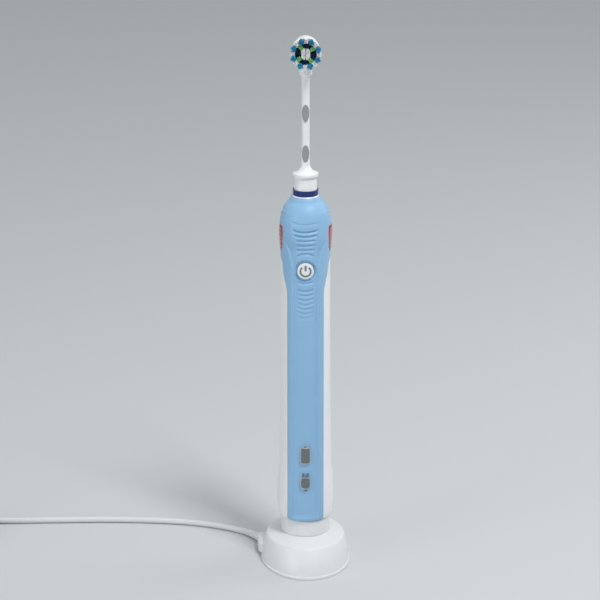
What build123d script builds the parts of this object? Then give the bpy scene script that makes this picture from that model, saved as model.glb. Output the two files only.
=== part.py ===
from build123d import *
import os
from math import acos, cos, pi, radians, sin, tan

# Oscillating electric toothbrush standing on its inductive charger.
# Millimetres, +Z up. The origin is on the table, under the stud, on the handle's axis.
# The button side faces -Y, and the mains cord leaves towards -X.

# ---- driving dimensions: charger -------------------------------------------------------------
CHARGER_TURN = 5.0          # the charger's long axis, turned about +Z
BASE_A = 22.2               # half width of the base plate
BASE_B = 29.2               # half length of the base plate
BASE_T = 1.6                # thickness of the base plate
WALL_TOP_A = 19.4           # half width at the shoulder
WALL_TOP_B = 23.4           # half length at the shoulder
SHOULDER_Z = 14.3
DOME_Z = 16.5               # height of the dome where the pedestal stands on it
PEDESTAL_R = 12.1
PEDESTAL_Z = 24.5
STUD_R = 6.25
STUD_Z = 38.7
CHARGER_WALL = 2.0
STUD_WALL = 1.2

# ---- driving dimensions: handle --------------------------------------------------------------
# height, half width (X), half depth (Y) of the handle's oval outline
HANDLE_STATIONS = [
    (24.6, 12.0, 12.1),
    (25.3, 13.1, 13.2),
    (27.6, 13.8, 13.9),
    (33.0, 14.1, 14.3),
    (41.0, 14.0, 14.3),
    (50.0, 13.3, 14.1),
    (62.0, 12.9, 14.0),
    (80.0, 12.55, 13.9),
    (110.0, 12.3, 13.8),
    (145.0, 12.2, 13.7),
    (157.0, 12.15, 13.6),
    (165.0, 12.45, 13.6),
    (173.0, 12.8, 13.5),
    (178.5, 12.55, 13.0),
    (182.5, 11.7, 12.0),
    (185.5, 10.4, 10.6),
    (187.3, 9.1, 9.2),
    (188.2, 8.1, 8.1),
]
GRIP_T = 1.2                # soft grip over the hard shell
SHELL_T = 2.2               # hard shell and grip together
GRIP_HALF = 8.9             # half width of the grip strip on the lower handle
GRIP_FLARE_LOW_Z = 142.7
GRIP_FLARE_HIGH_Z = 158.6
GRIP_FLARE_HALF = 11.4
GRIP_WRAP_Y = 5.0           # how far round the sides the grip goes near the top
BAND_HALF = 6.65            # half width of the sunk centre band
BAND_DEPTH = 0.4
BUTTON_Z = 155.8
BUTTON_R = 4.0
DISH_R = 5.6
SOCKET_R = 6.65             # stud socket in the bottom cap
NECK_Z = 191.0              # top of the neck cap

# ---- driving dimensions: drive ---------------------------------------------------------------
MODULE = 0.3
PINION_TEETH = 12
GEAR_TEETH = 28
PRESSURE_ANGLE = 20.0
BACKLASH = 0.08
GEAR_Y = 4.0                # the crank gear's axis, behind the drive shaft
MOTOR_Y = GEAR_Y - MODULE * (PINION_TEETH + GEAR_TEETH) / 2
CRANK_R = 1.0               # throw of the crank pin
GEAR_Z = 140.4
GEAR_H = 2.6
SHAFT_R = 1.8
RUN_CLEARANCE = 0.05        # radial clearance of a shaft in its bush

# ---- driving dimensions: brush head ----------------------------------------------------------
RING_Z = 191.05
FERRULE_Z = 193.8
RIM_Z = 202.1
FERRULE_R = 5.65            # at the foot of the ferrule
FERRULE_TOP_R = 5.25        # just under the rim
RIM_R = 6.25
STEM_R = 1.95
COLLAR_Z = 249.5
HEAD_Z = 262.6              # axis of the round head
DISC_R = 6.7
BRISTLE_LEN = 8.0
BLUE_START = 25.0           # first tuft of each ring, degrees clockwise from the top
WHITE_START = 2.5
NAVY_START = 8.0
GREEN_START = 53.0

# ---- driving dimensions: cord ----------------------------------------------------------------
CORD_D = 3.0
COIL_CENTRE = (-189.0, 23.2)
COIL_R = 16.5               # middle of the turns
COIL_HALF = 4.7             # half of the winding's section
COIL_LIFT = 0.5             # the tie passes under the turns
TIE_T = 0.5
BOOT_END = (-33.0, 30.6)
PLUG_X = -210.5
PLUG_Z = 6.9
PLUG_BOOT_Y = -6.8
PLUG_FACE_Y = -38.8
PIN_R = 2.0
PIN_LEN = 19.0
PIN_SPACING = 18.6

os.makedirs("parts", exist_ok=True)


# ---- helpers ---------------------------------------------------------------------------------
def save(node, shape):
    """Write one node's STEP file."""
    shape.label = node
    export_step(shape, "parts/" + node + ".step")


def rod(radius, z_low, z_high, x=0.0, y=0.0):
    """A vertical cylinder between two heights."""
    disc = Pos(x, y, z_low) * Circle(radius)
    return extrude(disc, z_high - z_low)


def tube(outer, inner, z_low, z_high, x=0.0, y=0.0):
    """A vertical tube between two heights."""
    return rod(outer, z_low, z_high, x, y) - rod(inner, z_low - 1, z_high + 1, x, y)


def block(x_low, x_high, y_low, y_high, z_low, z_high):
    """A box between two corners."""
    size = (x_high - x_low, y_high - y_low, z_high - z_low)
    centre = ((x_low + x_high) / 2, (y_low + y_high) / 2, (z_low + z_high) / 2)
    return Pos(*centre) * Box(*size)


def y_rod(radius, y_low, y_high, x=0.0, z=0.0):
    """A cylinder along Y between two depths."""
    centre = (x, (y_low + y_high) / 2, z)
    return Pos(*centre) * Rot(90, 0, 0) * Cylinder(radius, y_high - y_low)


def front_prism(face, y_low, y_high):
    """Extrude a face drawn as X and height along Y, between two depths."""
    placed = Pos(0, y_high, 0) * Rot(90, 0, 0) * face
    return extrude(placed, y_high - y_low, dir=(0, -1, 0))


def oval(half_x, half_y, z):
    """A horizontal ellipse face at a height."""
    return Pos(0, 0, z) * Ellipse(half_x, half_y)


def barrel(inset, low_extra=0.0, high_drop=0.0):
    """The handle's outer form, drawn in by an inset all round."""
    last = len(HANDLE_STATIONS) - 1
    faces = []
    for i, (z, half_x, half_y) in enumerate(HANDLE_STATIONS):
        height = z
        if i == 0:
            height = z - low_extra
        if i >= last - 3:
            height = z - high_drop
        faces.append(oval(half_x - inset, half_y - inset, height))
    return loft(faces, ruled=True)


def smile(z_mid, half_width, sag, width):
    """A curved slot seen from the front: its middle is lower than its ends by the sag."""
    low = z_mid - width / 2
    high = z_mid + width / 2
    under = ThreePointArc((-half_width, low + sag), (0, low), (half_width, low + sag))
    over = ThreePointArc((half_width, high + sag), (0, high), (-half_width, high + sag))
    sides = [Line(under @ 1, over @ 0), Line(over @ 1, under @ 0)]
    return make_face([under, sides[0], over, sides[1]])


def involute_gear(teeth):
    """A spur gear's outline with involute flanks, thinned by half the backlash on each flank."""
    pitch_r = MODULE * teeth / 2
    base_r = pitch_r * cos(radians(PRESSURE_ANGLE))
    tip_r = pitch_r + MODULE
    root_r = pitch_r - 1.25 * MODULE
    flank_steps = 4

    def spread(radius):
        turn = acos(min(1.0, base_r / radius))
        return tan(turn) - turn

    half_tooth = pi / (2 * teeth) - BACKLASH / (2 * pitch_r)
    start_r = max(base_r, root_r)
    points = []
    for tooth in range(teeth):
        middle = 2 * pi * tooth / teeth
        right = []
        for step in range(flank_steps + 1):
            radius = start_r + (tip_r - start_r) * step / flank_steps
            angle = half_tooth + spread(pitch_r) - spread(radius)
            right.append((radius, angle))
        if root_r < start_r:
            right.insert(0, (root_r, right[0][1]))
        for radius, angle in right:
            points.append((radius * cos(middle - angle), radius * sin(middle - angle)))
        for radius, angle in reversed(right):
            points.append((radius * cos(middle + angle), radius * sin(middle + angle)))
    return make_face(Polyline(*points, close=True))


def turned(shape):
    """Turn a charger piece with the charger."""
    return Rot(0, 0, CHARGER_TURN) * shape


# ---- charger ---------------------------------------------------------------------------------
def charger_form(inset):
    """The charger's oval wall and dome, drawn in by an inset."""
    wall = loft([
        oval(BASE_A - 0.5 - inset, BASE_B - 0.5 - inset, BASE_T),
        oval(BASE_A - 1.0 - inset, BASE_B - 1.8 - inset, 7.0 - inset / 3),
        oval(BASE_A - 1.8 - inset, BASE_B - 3.9 - inset, 11.5 - inset / 2),
        oval(WALL_TOP_A - inset, WALL_TOP_B - inset, SHOULDER_Z - inset),
    ])
    dome = loft([
        oval(WALL_TOP_A - inset, WALL_TOP_B - inset, SHOULDER_Z - inset),
        oval(16.0 - inset, 18.2 - inset, 15.6 - inset),
        oval(PEDESTAL_R - inset, PEDESTAL_R - inset, DOME_Z - inset),
    ])
    return wall + dome


def make_charger_housing():
    """Oval dome, pedestal and stud in one moulding, with the cord outlet at its left rear."""
    body = charger_form(0.0)
    outlet = fillet(block(-23.3, -16.0, 4.0, 18.2, BASE_T, 7.6).edges().filter_by(Axis.Z), 1.6)
    outlet = fillet(outlet.edges().group_by(Axis.Z)[-1], 1.4)
    pedestal = rod(PEDESTAL_R, DOME_Z - 3.0, PEDESTAL_Z)
    pedestal = fillet(pedestal.edges().group_by(Axis.Z)[-1], 0.8)
    stud = rod(STUD_R, PEDESTAL_Z - 1.0, STUD_Z)
    stud = fillet(stud.edges().group_by(Axis.Z)[-1], 1.2)
    cavity = charger_form(CHARGER_WALL)
    cavity += rod(PEDESTAL_R - CHARGER_WALL, BASE_T, PEDESTAL_Z - CHARGER_WALL)
    cavity += rod(STUD_R - STUD_WALL, BASE_T, STUD_Z - STUD_WALL)
    return turned(body + outlet + pedestal + stud - cavity)


def make_base_cover():
    """Flat plate that closes the charger, with a locating rib inside the wall."""
    plate = extrude(oval(BASE_A, BASE_B, 0), BASE_T)
    plate = fillet(plate.edges().group_by(Axis.Z)[-1], 0.5)
    rib = extrude(oval(BASE_A - 2.9, BASE_B - 2.9, BASE_T), 1.8)
    rib -= extrude(oval(BASE_A - 4.1, BASE_B - 4.1, BASE_T), 1.8)
    return turned(plate + rib)


def make_charger_inside():
    """Circuit board, capacitor, transistor, ferrite core and the coil that feeds the handle."""
    board_low = 4.0
    board_high = 5.2
    outline = Pos(0, 0, board_low) * RectangleRounded(24, 36, 3)
    board = extrude(outline, board_high - board_low) - rod(2.6, 3, 6)
    save("charger_board", turned(board))
    capacitor = fillet(block(-5.5, 5.5, -15.5, -9.5, board_high, 11.6).edges(), 0.6)
    save("filter_capacitor", turned(capacitor))
    save("drive_transistor", turned(block(-4.0, 4.0, 11.0, 13.6, board_high, 10.6)))
    save("ferrite_core", rod(2.5, BASE_T + 0.4, 36.6))
    bobbin = tube(3.2, 2.55, board_high, 35.4)
    bobbin += tube(4.9, 2.55, board_high, board_high + 1.0)
    bobbin += tube(4.9, 2.55, 34.4, 35.4)
    save("primary_bobbin", bobbin)
    save("primary_coil", tube(4.7, 3.2, board_high + 1.0, 34.4))


# ---- cord and plug ---------------------------------------------------------------------------
# Control points of the cord's route, exit first. The route lies on the table.
LEAD_ROUTE = [
    (BOOT_END[0], BOOT_END[1], CORD_D / 2),
    (-40.6, 35.2, CORD_D / 2),
    (-50.8, 39.2, CORD_D / 2),
    (-64.0, 42.6, CORD_D / 2),
    (-82.0, 44.8, CORD_D / 2),
    (-104.0, 45.6, CORD_D / 2),
    (-128.0, 45.0, CORD_D / 2),
    (-150.0, 44.0, CORD_D / 2),
    (-170.0, 43.7, CORD_D / 2 + 0.2),
    (-184.0, 42.6, CORD_D / 2 + 0.5),
]
TAIL_ROUTE = [
    (-208.4, 19.2, 4.9),
    (-208.5, 11.2, 4.9),
    (-209.3, 2.2, 5.9),
    (PLUG_X, PLUG_BOOT_Y, PLUG_Z),
]


def bend_radii(points):
    """The arc radius at each corner: as large as its two runs allow."""
    radii = []
    for before, here, after in zip(points, points[1:], points[2:]):
        run_in = Vector(*here) - Vector(*before)
        run_out = Vector(*after) - Vector(*here)
        turn = radians(run_in.get_angle(run_out))
        radii.append(0.45 * min(run_in.length, run_out.length) / tan(turn / 2))
    return radii


def cord_run(points, name):
    """A tube of straight runs and tangent arcs through the route's points."""
    radii = bend_radii(points)
    path = FilletPolyline(*points, radius=radii)
    section = Plane(origin=path @ 0, z_dir=path % 0) * Circle(CORD_D / 2)
    solid = sweep(section, path=path)
    area = pi * CORD_D ** 2 / 4
    print(name, "length", round(path.length, 2), "radii", [round(r, 1) for r in radii])
    print(name, "volume ratio", round(solid.volume / (area * path.length), 5))
    return solid


def make_cord_boot():
    """Tapered strain relief that curves from the outlet down to the table."""
    start = Vector(-22.6, 16.2, 3.5)
    middle = Vector(-26.0, 25.6, 1.9)
    end = Vector(BOOT_END[0], BOOT_END[1], CORD_D / 2)
    radii = [2.15, 2.1, 1.95, 1.8, 1.7, 1.62]
    faces = []
    for i, radius in enumerate(radii):
        t = i / (len(radii) - 1)
        point = start * (1 - t) ** 2 + middle * (2 * t * (1 - t)) + end * t ** 2
        along = (middle - start) * (2 * (1 - t)) + (end - middle) * (2 * t)
        faces.append(Plane(origin=point, z_dir=along) * Circle(radius))
    return loft(faces)


def make_coil():
    """The wound, put-away length of the cord as one closed ring, and the tie round it."""
    place = Pos(COIL_CENTRE[0], COIL_CENTRE[1], 0)
    height = 2 * COIL_HALF - 0.2
    centre_z = COIL_LIFT + height / 2
    section = Pos(COIL_R, 0, centre_z) * Rot(90, 0, 0) * RectangleRounded(2 * COIL_HALF, height, 1.4)
    ring = revolve(section, Axis.Z, 360)
    save("cord_coil", place * ring)
    outer = RectangleRounded(2 * COIL_HALF + 2 * TIE_T, height + 2 * TIE_T, 1.9)
    inner = RectangleRounded(2 * COIL_HALF, height, 1.4)
    strap = Pos(COIL_R, 0, centre_z) * Rot(90, 0, 0) * (outer - inner)
    tie = revolve(strap, Axis.Z, 18)
    save("coil_tie", place * Rot(0, 0, 20) * tie)


def make_plug():
    """Flat two-pin plug that lies on the table beside the coil, pins towards -Y."""
    def section(y, wide, high, corner):
        return Pos(PLUG_X, y, PLUG_Z) * Rot(90, 0, 0) * RectangleRounded(wide, high, corner)

    body_back = PLUG_BOOT_Y - 10.0
    widest = section(body_back - 10.0, 35.3, 13.6, 5.0)
    body = loft([section(body_back, 15.0, 11.0, 4.0), widest])
    body += loft([widest, section(PLUG_FACE_Y, 33.0, 13.2, 5.0)])
    save("plug_body", body)

    def ring(y, radius):
        return Pos(PLUG_X, y, PLUG_Z) * Rot(90, 0, 0) * Circle(radius)

    boot = loft([ring(PLUG_BOOT_Y, 1.9), ring(body_back, 3.6)])
    save("plug_boot", boot)
    pins = Compound(children=[
        y_rod(PIN_R, PLUG_FACE_Y - PIN_LEN, PLUG_FACE_Y, PLUG_X - PIN_SPACING / 2, PLUG_Z),
        y_rod(PIN_R, PLUG_FACE_Y - PIN_LEN, PLUG_FACE_Y, PLUG_X + PIN_SPACING / 2, PLUG_Z),
    ])
    save("plug_pins", pins)


# ---- handle shell ----------------------------------------------------------------------------
def grip_region():
    """The space that the soft grip covers: a strip below, the whole front near the top."""
    strip = make_face(Polyline(
        (-GRIP_HALF, 20),
        (GRIP_HALF, 20),
        (GRIP_HALF, GRIP_FLARE_LOW_Z),
        (GRIP_FLARE_HALF, GRIP_FLARE_HIGH_Z),
        (20, GRIP_FLARE_HIGH_Z + 4),
        (-20, GRIP_FLARE_HIGH_Z + 4),
        (-GRIP_FLARE_HALF, GRIP_FLARE_HIGH_Z),
        (-GRIP_HALF, GRIP_FLARE_LOW_Z),
        close=True,
    ))
    front = front_prism(strip, -20, 0)
    top = block(-20, 20, -20, GRIP_WRAP_Y, GRIP_FLARE_HIGH_Z + 3, 200)
    return front + top


def light_prism(side):
    """The leaf-shaped window of a pressure light, seen from the side."""
    leaf = make_face(Polyline(
        (-7.0, 176.6),
        (2.0, 176.6),
        (2.6, 169.0),
        (-1.0, 163.4),
        (-4.6, 163.4),
        close=True,
    ))
    placed = Plane(origin=(0, 0, 0), x_dir=(0, 1, 0), z_dir=(1, 0, 0)) * leaf
    return extrude(placed, 20 * side, dir=(1, 0, 0))


def battery_icon():
    """Outline of the charge window: a standing cell with its terminal."""
    cell = Pos(0, 60.4) * RectangleRounded(4.5, 8.2, 0.5)
    nub = Pos(0, 65.0) * Rectangle(1.7, 1.2)
    return cell + nub


def plug_icon():
    """Outline of the charging window: a plug with two prongs and its lead."""
    body = Pos(0, 45.9) * RectangleRounded(4.5, 5.6, 1.6)
    prongs = Pos(-1.1, 49.6) * Rectangle(0.9, 2.6) + Pos(1.1, 49.6) * Rectangle(0.9, 2.6)
    lead = Pos(0, 42.6) * Rectangle(0.9, 1.6)
    return body + prongs + lead


def make_handle_shell():
    """White shell, soft front grip, icon windows and the two pressure lights."""
    outer = barrel(0.0)
    under_grip = barrel(GRIP_T, 1.0, GRIP_T)
    hollow = barrel(SHELL_T, 1.0, SHELL_T)
    skin = outer - under_grip
    wall = outer - hollow
    lights = {}
    for name, side in (("left", -1), ("right", 1)):
        lights[name] = skin & light_prism(side)
        save("pressure_light_" + name, lights[name])
    windows = {"battery_window": battery_icon(), "plug_window": plug_icon()}
    glazing = {}
    for name, icon in windows.items():
        glazing[name] = wall & front_prism(icon, -20, -5)
        save(name, glazing[name])
    button_hole = y_rod(BUTTON_R + 0.15, -20, -5, 0, BUTTON_Z)
    grip = skin & grip_region()
    shell = wall - grip
    for light in lights.values():
        grip -= light
        shell -= light
    for pane in glazing.values():
        grip -= pane
        shell -= pane
    grip -= button_hole
    shell -= button_hole
    shell -= rod(4.4, 180, 200)
    grip -= rod(8.2, 187, 200)
    save("rear_housing", shell)

    band = make_face(Polyline(
        (-BAND_HALF, 28), (BAND_HALF, 28), (BAND_HALF, 155), (8.1, 164.5), (-8.1, 164.5),
        (-BAND_HALF, 155), close=True,
    ))
    cuts = (outer - barrel(BAND_DEPTH)) & front_prism(band, -20, -5)
    slots = []
    for i in range(5):
        slots.append(smile(175.3 - 2.33 * i, 6.0 - 0.35 * i, 1.3 - 0.3 * i, 0.8))
    for i in range(8):
        slots.append(smile(145.2 - 2.3 * i, 4.2 - 0.12 * i, 0.9 + 0.05 * i, 0.8))
    groove_depth = outer - barrel(0.75)
    for slot in slots:
        cuts += groove_depth & front_prism(slot, -20, -5)
    cuts += groove_depth & y_rod(DISH_R, -20, -5, 0, BUTTON_Z)
    save("front_grip", grip - cuts)


def make_handle_ends():
    """Neck cap and shaft seal at the top, socketed cap and its seal at the bottom."""
    cone = Pos(0, 0, 188.2) * Circle(8.1)
    neck = loft([cone, Pos(0, 0, NECK_Z) * Circle(6.2)])
    neck -= rod(3.4, 188, NECK_Z + 1)
    save("neck_cap", neck)
    save("shaft_seal", tube(3.4, SHAFT_R + RUN_CLEARANCE, 188.5, NECK_Z - 0.4))
    cap = rod(9.6, 24.6, 27.0) + rod(7.9, 26.0, 41.2)
    cap -= rod(SOCKET_R, 20, 39.8)
    save("bottom_cap", cap)
    save("cap_seal", tube(9.7, 7.9, 27.0, 28.6))


# ---- handle inside ---------------------------------------------------------------------------
BATTERY_Y = 1.5
BATTERY_R = 7.1
BOARD_BACK_Y = -7.8
BOARD_FRONT_Y = -8.6
CHASSIS_A = 9.2             # half width and half depth of the carrier
CHASSIS_B = 10.6


def trough_disc(z_low, z_high):
    """A cross wall of the chassis, open at the front for the board."""
    wall = extrude(oval(CHASSIS_A, CHASSIS_B, z_low), z_high - z_low)
    return wall - block(-12, 12, -15, BOARD_BACK_Y + 0.3, z_low - 1, z_high + 1)


def make_chassis():
    """The carrier that holds coil, cell, board, motor, gear axle and bushes in line."""
    low_z = 42.6
    high_z = 152.0
    trough = extrude(oval(CHASSIS_A, CHASSIS_B, low_z), high_z - low_z)
    trough -= extrude(oval(CHASSIS_A - 0.7, CHASSIS_B - 0.8, low_z - 1), high_z - low_z + 2)
    trough -= block(-12, 12, -15, 1.5, low_z - 1, high_z + 1)
    chassis = trough
    for z_low, z_high in ((low_z, 44.4), (100.6, 102.2), (136.4, 138.2), (149.4, high_z)):
        chassis += trough_disc(z_low, z_high)
    chassis += tube(4.3, 3.0, 149.4, 188.2)
    chassis -= rod(3.0, 149.0, 189.0)
    chassis -= rod(2.2, 136.0, 139.0, 0, MOTOR_Y)
    chassis -= rod(0.6, 136.0, 139.0, 0, GEAR_Y)
    chassis -= rod(BATTERY_R + 0.05, 46.0, 99.5, 0, BATTERY_Y)
    return chassis


def make_power():
    """Pick-up coil on its bobbin, the cell and its contacts."""
    bobbin = tube(8.7, 7.9, 29.0, 40.6)
    bobbin += tube(11.2, 7.9, 29.0, 29.8) + tube(11.2, 7.9, 39.8, 40.6)
    save("pickup_bobbin", bobbin)
    save("pickup_coil", tube(10.9, 8.7, 29.8, 39.8))
    cell = rod(BATTERY_R, 48.0, 97.4, 0, BATTERY_Y)
    cell = fillet(cell.edges(), 0.8) + rod(2.7, 97.4, 98.6, 0, BATTERY_Y)
    save("battery_cell", cell)
    lower = rod(4.5, 44.4, 44.8, 0, BATTERY_Y) + rod(2.0, 44.8, 48.0, 0, BATTERY_Y)
    upper = block(-3.5, 3.5, BATTERY_Y - 3.5, BATTERY_Y + 3.5, 98.6, 99.0)
    upper += rod(2.0, 99.0, 100.6, 0, BATTERY_Y)
    save("battery_contacts", Compound(children=[lower, upper]))


def make_electronics():
    """The long board with its switch, two indicator lights and the controller."""
    save("circuit_board", block(-6.0, 6.0, BOARD_FRONT_Y, BOARD_BACK_Y, 44.8, 148.8)
         + block(-4.5, 4.5, BOARD_FRONT_Y, BOARD_BACK_Y, 148.8, 163.0))
    save("tact_switch", block(-2.3, 2.3, BOARD_FRONT_Y - 1.2, BOARD_FRONT_Y, 153.5, 158.1))
    save("battery_led", block(-0.8, 0.8, BOARD_FRONT_Y - 0.9, BOARD_FRONT_Y, 59.6, 61.2))
    save("charge_led", block(-0.8, 0.8, BOARD_FRONT_Y - 0.9, BOARD_FRONT_Y, 45.1, 46.7))
    save("controller_chip", block(-2.5, 2.5, BOARD_FRONT_Y - 1.4, BOARD_FRONT_Y, 104.0, 111.0))


def make_motor():
    """Motor can, its rotor shaft and the pinion."""
    can = rod(7.5, 108.0, 134.6, 0, MOTOR_Y) & block(-8, 8, MOTOR_Y - 5.5, MOTOR_Y + 5.5, 100, 140)
    can += rod(2.15, 134.6, 136.4, 0, MOTOR_Y)
    can -= rod(0.8, 120.0, 137.0, 0, MOTOR_Y)
    save("motor_can", can)
    save("rotor_shaft", rod(0.75, 120.5, GEAR_Z + GEAR_H + 0.4, 0, MOTOR_Y))
    blank = extrude(Pos(0, MOTOR_Y, GEAR_Z) * Rot(0, 0, 90) * involute_gear(PINION_TEETH), GEAR_H)
    save("pinion", blank - rod(0.75, 130, 150, 0, MOTOR_Y))


def make_crank_gear():
    """The driven gear, its crank pin and the fixed axle under it."""
    half_tooth_turn = 180.0 / GEAR_TEETH
    outline = Pos(0, GEAR_Y, GEAR_Z) * Rot(0, 0, -90 + half_tooth_turn) * involute_gear(GEAR_TEETH)
    axle_r = 0.6
    gear = extrude(outline, GEAR_H) - rod(axle_r + RUN_CLEARANCE, 130, GEAR_Z + 2.2, 0, GEAR_Y)
    save("crank_gear", gear)
    top = GEAR_Z + GEAR_H
    save("crank_pin", rod(0.5, top, top + 1.6, CRANK_R, GEAR_Y))
    save("gear_axle", rod(axle_r, 136.4, GEAR_Z + 2.1, 0, GEAR_Y))


def make_drive_shaft():
    """The oscillating steel shaft with its flat, its rocker fork and the two bushes."""
    tip_z = 199.5
    shaft = rod(SHAFT_R, 145.2, 192.6) + rod(1.5, 192.6, tip_z)
    shaft -= block(-3, 3, 1.0, 3, 192.6, tip_z + 1)
    save("drive_shaft", shaft)
    fork_low = 145.2
    fork_high = 147.4
    fork = tube(3.1, SHAFT_R, fork_low, fork_high)
    arm = block(-1.9, 1.9, 2.0, GEAR_Y + 2.2, fork_low, fork_high)
    arm -= block(-0.6, 0.6, GEAR_Y - 1.3, GEAR_Y + 3, fork_low - 1, fork_high + 1)
    save("rocker_fork", fork + arm)
    inner = SHAFT_R + RUN_CLEARANCE
    save("shaft_bush_lower", tube(3.0, inner, 149.4, 152.4))
    save("shaft_bush_upper", tube(3.0, inner, 183.4, 187.4))


def make_button():
    """Round push button with retaining tabs behind the wall."""
    body = y_rod(BUTTON_R, -20, -10.5, 0, BUTTON_Z) & barrel(0.25)
    face = y_rod(BUTTON_R, -20, -10.5, 0, BUTTON_Z) & block(-5, 5, -13.25, -10, 150, 162)
    tabs = block(-1.5, 1.5, -11.05, -10.5, BUTTON_Z - 5.2, BUTTON_Z + 5.2)
    return (body & face) + tabs


# ---- brush head ------------------------------------------------------------------------------
def make_brush_stem():
    """Tapered ferrule, slim stem, neck collar and the cup behind the round head."""
    neck_r = 2.7
    collar_r = 3.15
    rim_low = RIM_Z - 1.7
    rim_edge = (RIM_R, RIM_Z - 0.4)
    stem_foot = (2.15, RIM_Z + 3.4)
    stem_full = RIM_Z + 12
    collar_top = COLLAR_Z + 3.7
    neck_top = HEAD_Z - 4.5
    low = Polyline(
        (0, FERRULE_Z),
        (FERRULE_R, FERRULE_Z),
        (FERRULE_TOP_R, rim_low),
        (RIM_R, rim_low + 0.2),
        rim_edge,
    )
    shoulder = ThreePointArc(rim_edge, (3.7, RIM_Z + 0.9), stem_foot)
    high = Polyline(
        stem_foot,
        (STEM_R, stem_full),
        (STEM_R, COLLAR_Z),
        (collar_r, COLLAR_Z + 0.9),
        (collar_r, collar_top),
        (neck_r, collar_top + 0.4),
        (neck_r, neck_top),
        (0, neck_top),
    )
    closing = Line((0, neck_top), (0, FERRULE_Z))
    half = make_face([low, shoulder, high, closing])
    stem = revolve(Rot(90, 0, 0) * half, Axis.Z, 360)

    cup_front = -1.5
    cup_back = 3.2
    cup = y_rod(6.3, cup_front, cup_back, 0, HEAD_Z)
    stem += fillet(cup.edges().sort_by(Axis.Y)[-1], 1.4)

    hollow_top = 201.2          # the ferrule's hollow, which the link socket stands in
    channel_top = COLLAR_Z + 5.0
    stem -= rod(4.4, FERRULE_Z - 1, hollow_top)
    stem -= rod(1.15, hollow_top - 0.2, channel_top)
    stem -= block(-1.75, 1.75, -4.5, 1.3, channel_top - 0.7, HEAD_Z - 6.2)
    stem -= block(-4.5, 4.5, -4.5, cup_front - 0.05, HEAD_Z - 7.6, HEAD_Z)
    stem -= y_rod(0.6, cup_front - 0.5, cup_back - 1.0, 0, HEAD_Z)
    return stem


def make_stem_pads(stem):
    """Two low oval pads on the front of the stem."""
    for name, z_low, z_high in (("lower", 207.4, 215.8), ("upper", 227.4, 235.8)):
        middle = (z_low + z_high) / 2
        shape = Pos(0, middle) * Ellipse(1.75, (z_high - z_low) / 2)
        raised = front_prism(shape, -3, -0.5) & rod(STEM_R + 0.35, z_low - 1, z_high + 1)
        save("stem_pad_" + name, raised - rod(STEM_R - 0.4, z_low - 1, z_high + 1) - stem)


def make_link():
    """The socket that takes the drive shaft's tip, and the cranked rod up the stem."""
    socket_low = 194.1
    socket_high = 201.0
    socket = rod(3.6, socket_low, socket_high)
    bore = rod(1.5 + RUN_CLEARANCE, socket_low - 1, 199.7)
    bore -= block(-3, 3, 1.0 + RUN_CLEARANCE, 3, socket_low - 2, 200)
    save("link_socket", socket - bore)
    pin_y = -2.7
    rod_r = 0.8
    elbow_z = COLLAR_Z + 4.4
    link = rod(rod_r, socket_high, elbow_z + 0.9)
    link += block(-0.5, 0.5, pin_y, 0, elbow_z, elbow_z + 0.9)
    link += rod(0.45, elbow_z, HEAD_Z - 2.2, 0, pin_y)
    save("link_rod", link)


def make_head():
    """The round tuft carrier with the slot that the crank works in, and its steel pin."""
    disc_back = -1.8
    disc_front = -4.8
    disc = y_rod(DISC_R, disc_front, disc_back, 0, HEAD_Z)
    disc = fillet(disc.edges().sort_by(Axis.Y)[0], 0.6)
    slot_top = HEAD_Z - 1.9
    slot_low = HEAD_Z - 8.0
    wedge = make_face(Polyline(
        (-0.85, slot_top), (-3.4, slot_low), (3.4, slot_low), (0.85, slot_top), close=True,
    ))
    disc -= front_prism(wedge, -3.8, 0)
    disc -= y_rod(0.65, -3.8, 0, 0, HEAD_Z)
    save("head_disc", disc)
    save("head_pin", y_rod(0.6, -3.6, 2.2, 0, HEAD_Z))


def tuft(section, radius, angle, spread, length):
    """One tuft: a short prism that leans outwards a little towards its tips."""
    root_y = -4.8
    x = radius * sin(radians(angle))
    z = HEAD_Z + radius * cos(radians(angle))
    lean = 1 + spread
    root = Pos(x, root_y, z) * Rot(90, 0, 0) * (Rot(0, 0, -angle) * section)
    tip_place = Pos(lean * x, root_y - length, HEAD_Z + lean * (z - HEAD_Z))
    tip = tip_place * Rot(90, 0, 0) * (Rot(0, 0, -angle) * scale(section, 1 + spread / 2))
    return loft([root, tip])


def make_tufts():
    """Tufts in three rings: outer blue and white, inner green and navy, and a split centre."""
    diamond = Polygon((0, 1.15), (1.05, 0), (0, -1.15), (-1.05, 0), align=None)
    wedge = Polygon((-0.85, 1.0), (0.85, 1.0), (1.0, -0.9), (-1.0, -0.9), align=None)
    petal = RectangleRounded(1.7, 1.9, 0.6)
    inner_r = 2.75
    inner_len = BRISTLE_LEN - 0.6
    rings = [
        ("tufts_outer_blue", diamond, 5.35, BLUE_START, 8, BRISTLE_LEN),
        ("tufts_outer_white", wedge, 5.2, WHITE_START, 8, BRISTLE_LEN - 0.5),
        ("tufts_inner_navy", petal, inner_r, NAVY_START, 4, inner_len),
        ("tufts_inner_green", petal, inner_r, GREEN_START, 4, inner_len),
    ]
    for name, section, radius, start, count, length in rings:
        solids = []
        for i in range(count):
            solids.append(tuft(section, radius, start + 360.0 * i / count, 0.08, length))
        save(name, Compound(children=solids))
    half = RectangleRounded(1.0, 2.3, 0.4)
    halves = []
    for side in (-1, 1):
        angle = 90.0 * side
        section = Rot(0, 0, angle) * half
        halves.append(tuft(section, 0.62, angle, 0.05, BRISTLE_LEN - 1.0))
    save("tufts_centre", Compound(children=halves))


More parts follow.
